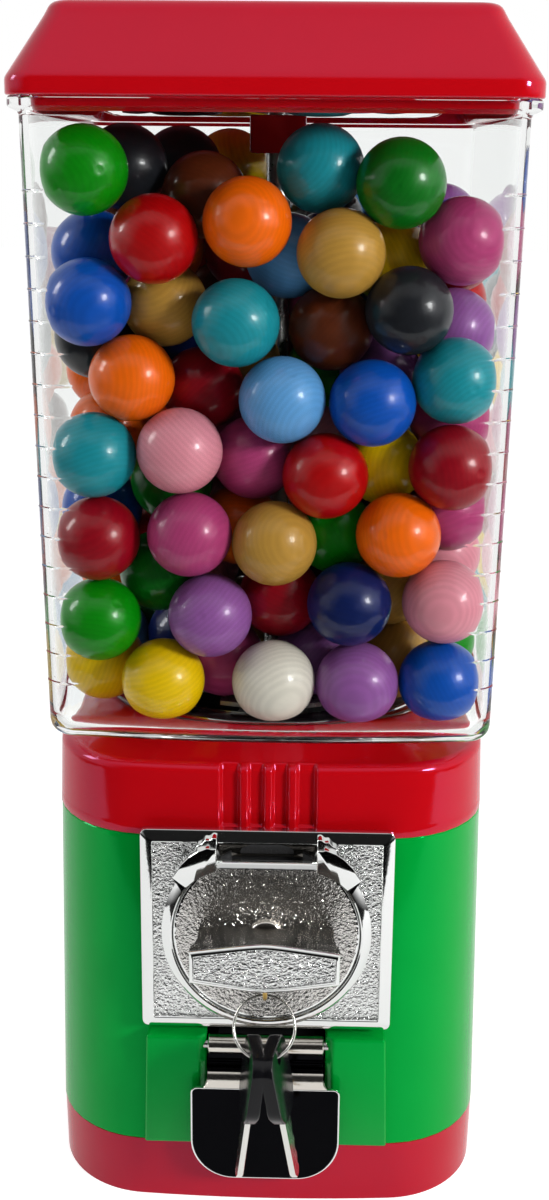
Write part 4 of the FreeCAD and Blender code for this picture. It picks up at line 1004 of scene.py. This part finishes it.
def keys():
    centre = ring_point(RING_RADIUS)
    down = Vector((0, -math.sin(RING_LEAN), -math.cos(RING_LEAN)))
    normal = Vector((0, -math.cos(RING_LEAN), math.sin(RING_LEAN)))
    wind = []
    for k in range(181):
        angle = 4 * math.pi * k / 180 + 0.6
        radius = RING_RADIUS + 0.08 * math.cos(angle * 0.5)
        shift = 0.42 * (2.0 * k / 180 - 1.0)
        wind.append(tuple(centre + Vector((1, 0, 0)) * radius * math.sin(angle)
                          + down * radius * math.cos(angle) + normal * shift))
    make("key_ring_wire", tube(wind, 0.43, 10), [NICKEL], "keys", ["key_ring"], sharp=60.0)
    heads, blades = [], []
    for x, lean, yaw in ((-2.7, 7.0, 9.0), (2.8, -10.5, -11.0)):
        drop = math.sqrt(RING_RADIUS ** 2 - x ** 2)
        place = ring_point(RING_RADIUS + drop)
        turn = Matrix.Rotation(math.radians(lean), 3, "Y") @ Matrix.Rotation(math.radians(yaw), 3, "Z")

        def hung(points):
            return [tuple(turn @ Vector(p) + Vector((x, place.y, place.z))) for p in points]

        head = rounded_polygon([(-7.0, 4.2), (7.0, 4.2), (10.0, 1.2), (10.0, -14.8), (5.2, -20.8),
                                (-5.2, -20.8), (-10.0, -14.8), (-10.0, 1.2)], 2.6, 6)
        hole = [(2.0 * a / math.hypot(a, b), 2.0 * b / math.hypot(a, b)) for a, b in head]
        wide, middle, narrow = inset(head, 0.06), inset(head, 0.3), inset(head, 0.7)
        rows = [(-2.15, narrow), (-2.05, middle), (-1.75, wide), (-1.4, head), (1.4, head), (1.75, wide),
                (2.05, middle), (2.15, narrow), (2.15, hole), (-2.15, hole)]
        heads += skin([hung([(across, a, b) for a, b in row]) for across, row in rows], closed=True)
        low, tip = -20.8, -42.8
        bits = [(3.5, low + 3.0), (3.5, tip + 2.4), (1.6, tip), (-0.8, tip), (-2.3, tip + 2.0),
                (-1.5, tip + 4.0), (-2.9, tip + 6.4), (-1.7, tip + 9.0), (-3.1, tip + 11.5),
                (-2.1, tip + 14.0), (-3.4, tip + 17.0), (-3.5, low + 3.0)]
        edge = rounded_polygon(bits, 0.5, 2)
        shape = [(-0.95, inset(edge, 0.25)), (-0.8, edge), (0.8, edge), (0.95, inset(edge, 0.25))]
        points, faces, _ = skin([hung([(across, -a, b) for a, b in row]) for across, row in shape])[0]
        count = len(edge)
        milled = {i for i in range(count) if edge[i][0] < 0.5 or edge[i][1] < tip + 1.0}
        steel_faces, brass_faces = [], []
        for face in faces:
            cut_edge = len(face) == 4 and all(i % count in milled for i in face)
            (brass_faces if cut_edge else steel_faces).append(face)
        blades.append((points, steel_faces, 0))
        blades.append((points, brass_faces, 1))
    make("key_head_pair", heads, [KEY_BLACK], "keys", ["key_heads"], sharp=30.0)
    make("key_blade_pair", blades, [NICKEL, BRASS], "keys", ["key_blades"], sharp=30.0)


# ---------------- CAD nodes that keep their shape
KEPT = {
    "base_pan": RED, "base_screws": STEEL, "wheel_housing": BLACK, "ball_guard": STEEL, "centre_rod": STEEL,
    "rod_nut": STEEL, "rod_washer": STEEL, "latch_bracket": STEEL, "chute": BLACK, "cash_tray": BLACK,
    "door_hinge_pin": STEEL, "mech_frame": STEEL, "mech_screws": STEEL, "coin_wheel": DARK_CAST,
    "drive_shaft": STEEL, "drive_gear": DARK_CAST, "shaft_clip": STEEL, "handle_screw": STEEL,
    "idler_gear": DARK_CAST, "idler_pinion": DARK_CAST, "idler_shaft": STEEL, "product_wheel": BLACK,
    "lock_body": CHROME, "lock_plug": BRASS, "lock_cam": STEEL,
}


def dress_kept():
    for node, material in KEPT.items():
        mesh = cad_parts[node].data
        mesh.materials.clear()
        mesh.materials.append(material)


# ---------------- studio
def lamp(name, place, size, watts):
    """Soft white rectangle aimed at the middle of the object."""
    data = bpy.data.lights.new(name, "AREA")
    data.shape = "RECTANGLE"
    data.size, data.size_y = size
    data.energy = watts
    light = link(name, data)
    light.location = place
    light.rotation_euler = (Vector(LAMP_TARGET) - Vector(place)).to_track_quat("-Z", "Y").to_euler()


def world_light():
    """White surroundings with a dark room in front; diffuse light is even and weaker."""
    world = bpy.data.worlds.new("studio")
    bpy.context.scene.world = world
    world.use_nodes = True
    tree = world.node_tree
    tree.nodes.clear()
    direction = add(tree, "ShaderNodeTexCoord").outputs["Generated"]
    axes = add(tree, "ShaderNodeSeparateXYZ", {0: direction})

    def ramp(axis, low, high, from_value, to_value):
        values = {"Value": axes.outputs[axis], "From Min": low, "From Max": high, "To Min": from_value,
                  "To Max": to_value}
        return add(tree, "ShaderNodeMapRange", values).outputs[0]

    above_floor = ramp("Z", -0.22, 0.0, 0.03, 1.0)
    away_from_front = ramp("Y", -0.80, -0.40, 0.01, 0.95)
    overhead = ramp("Z", 0.55, 0.82, 0.0, 0.85)
    open_below = calculate(tree, "MAXIMUM", above_floor, ramp("Y", -0.1, 0.35, 0.03, 1.0))
    mirrored = calculate(tree, "MULTIPLY", open_below, calculate(tree, "MAXIMUM", away_from_front, overhead))
    diffuse = ramp("Z", -0.1, 1.0, AMBIENT_SIDE, AMBIENT_TOP)
    path = add(tree, "ShaderNodeLightPath").outputs
    scattered = calculate(tree, "GREATER_THAN", path["Diffuse Depth"], 0.5)
    reflected = calculate(tree, "GREATER_THAN", path["Glossy Depth"], 0.5)
    through = path["Transmission Depth"]
    inside_plastic = calculate(tree, "MULTIPLY", calculate(tree, "GREATER_THAN", through, 0.5),
                               calculate(tree, "LESS_THAN", through, 3.5))
    bounced = choose(tree, inside_plastic, mirrored, away_from_front)
    strength = choose(tree, scattered, choose(tree, reflected, 1.0, bounced), diffuse)
    background = add(tree, "ShaderNodeBackground", {"Color": (1, 1, 1, 1), "Strength": strength})
    add(tree, "ShaderNodeOutputWorld", {0: background.outputs[0]})


def pale_floor(name, mirrored):
    """White floor: bright to the eye, dimmer as a light; mirrors see it only where it is near the object."""
    material, tree, shader = blank(name, Roughness=0.9, Specular_IOR_Level=0.0)
    shader.inputs["Base Color"].default_value = (0.62, 0.62, 0.62, 1)
    shader.inputs["Emission Color"].default_value = (1, 1, 1, 1)
    path = add(tree, "ShaderNodeLightPath").outputs
    scattered = calculate(tree, "GREATER_THAN", path["Diffuse Depth"], 0.5)
    reflected = calculate(tree, "GREATER_THAN", path["Glossy Depth"], 0.5)
    glow = choose(tree, scattered, choose(tree, reflected, FLOOR_SEEN, FLOOR_MIRRORED), FLOOR_LIGHT)
    tree.links.new(glow, shader.inputs["Emission Strength"])
    if not mirrored:
        let_through(tree, shader, reflected, add(tree, "ShaderNodeBsdfTransparent"))
    return material


def floor():
    """Wide pale floor, and a smaller sheet of the same that polished parts mirror."""
    for name, low, high, z, mirrored in (("floor", (-6.0, -6.0), (6.0, 6.0), -0.0004, False),
                                         ("floor_sheet", (-0.5, -0.275), (0.5, 0.5), -0.0002, True)):
        mesh = bpy.data.meshes.new(name)
        corners = [(low[0], low[1], z), (high[0], low[1], z), (high[0], high[1], z), (low[0], high[1], z)]
        mesh.from_pydata(corners, [], [(0, 1, 2, 3)])
        mesh.materials.append(pale_floor("pale_" + name, mirrored))
        ground = link(name, mesh)


def camera():
    data = bpy.data.cameras.new("camera")
    data.sensor_width = 36.0
    data.lens = CAMERA_LENS
    data.shift_y = CAMERA_SHIFT
    data.clip_start = 0.01
    eye = link("camera", data)
    level = math.cos(CAMERA_PITCH)
    forward = Vector((-math.sin(CAMERA_YAW) * level, math.cos(CAMERA_YAW) * level, -math.sin(CAMERA_PITCH)))
    right = forward.cross(Vector((0, 0, 1))).normalized()
    up = right.cross(forward)
    tilted = right * math.cos(CAMERA_ROLL) + up * math.sin(CAMERA_ROLL)
    above = tilted.cross(forward)
    facing = Matrix((tilted, above, -forward)).transposed()
    eye.matrix_world = Matrix.Translation(CAMERA_PLACE) @ facing.to_4x4()
    bpy.context.scene.camera = eye


camera()
floor()
world_light()
lamp("key", (0.93, -0.75, 0.62), (0.26, 0.26), 13.5)
lamp("side", (-1.15, -0.10, 0.80), (0.3, 0.5), 5.0)
bpy.context.scene.view_settings.view_transform = "Standard"

canister()
lid()
collar()
housing()
balls()
face_plate()
dial()
handle()
flap_door()
keys()
dress_kept()
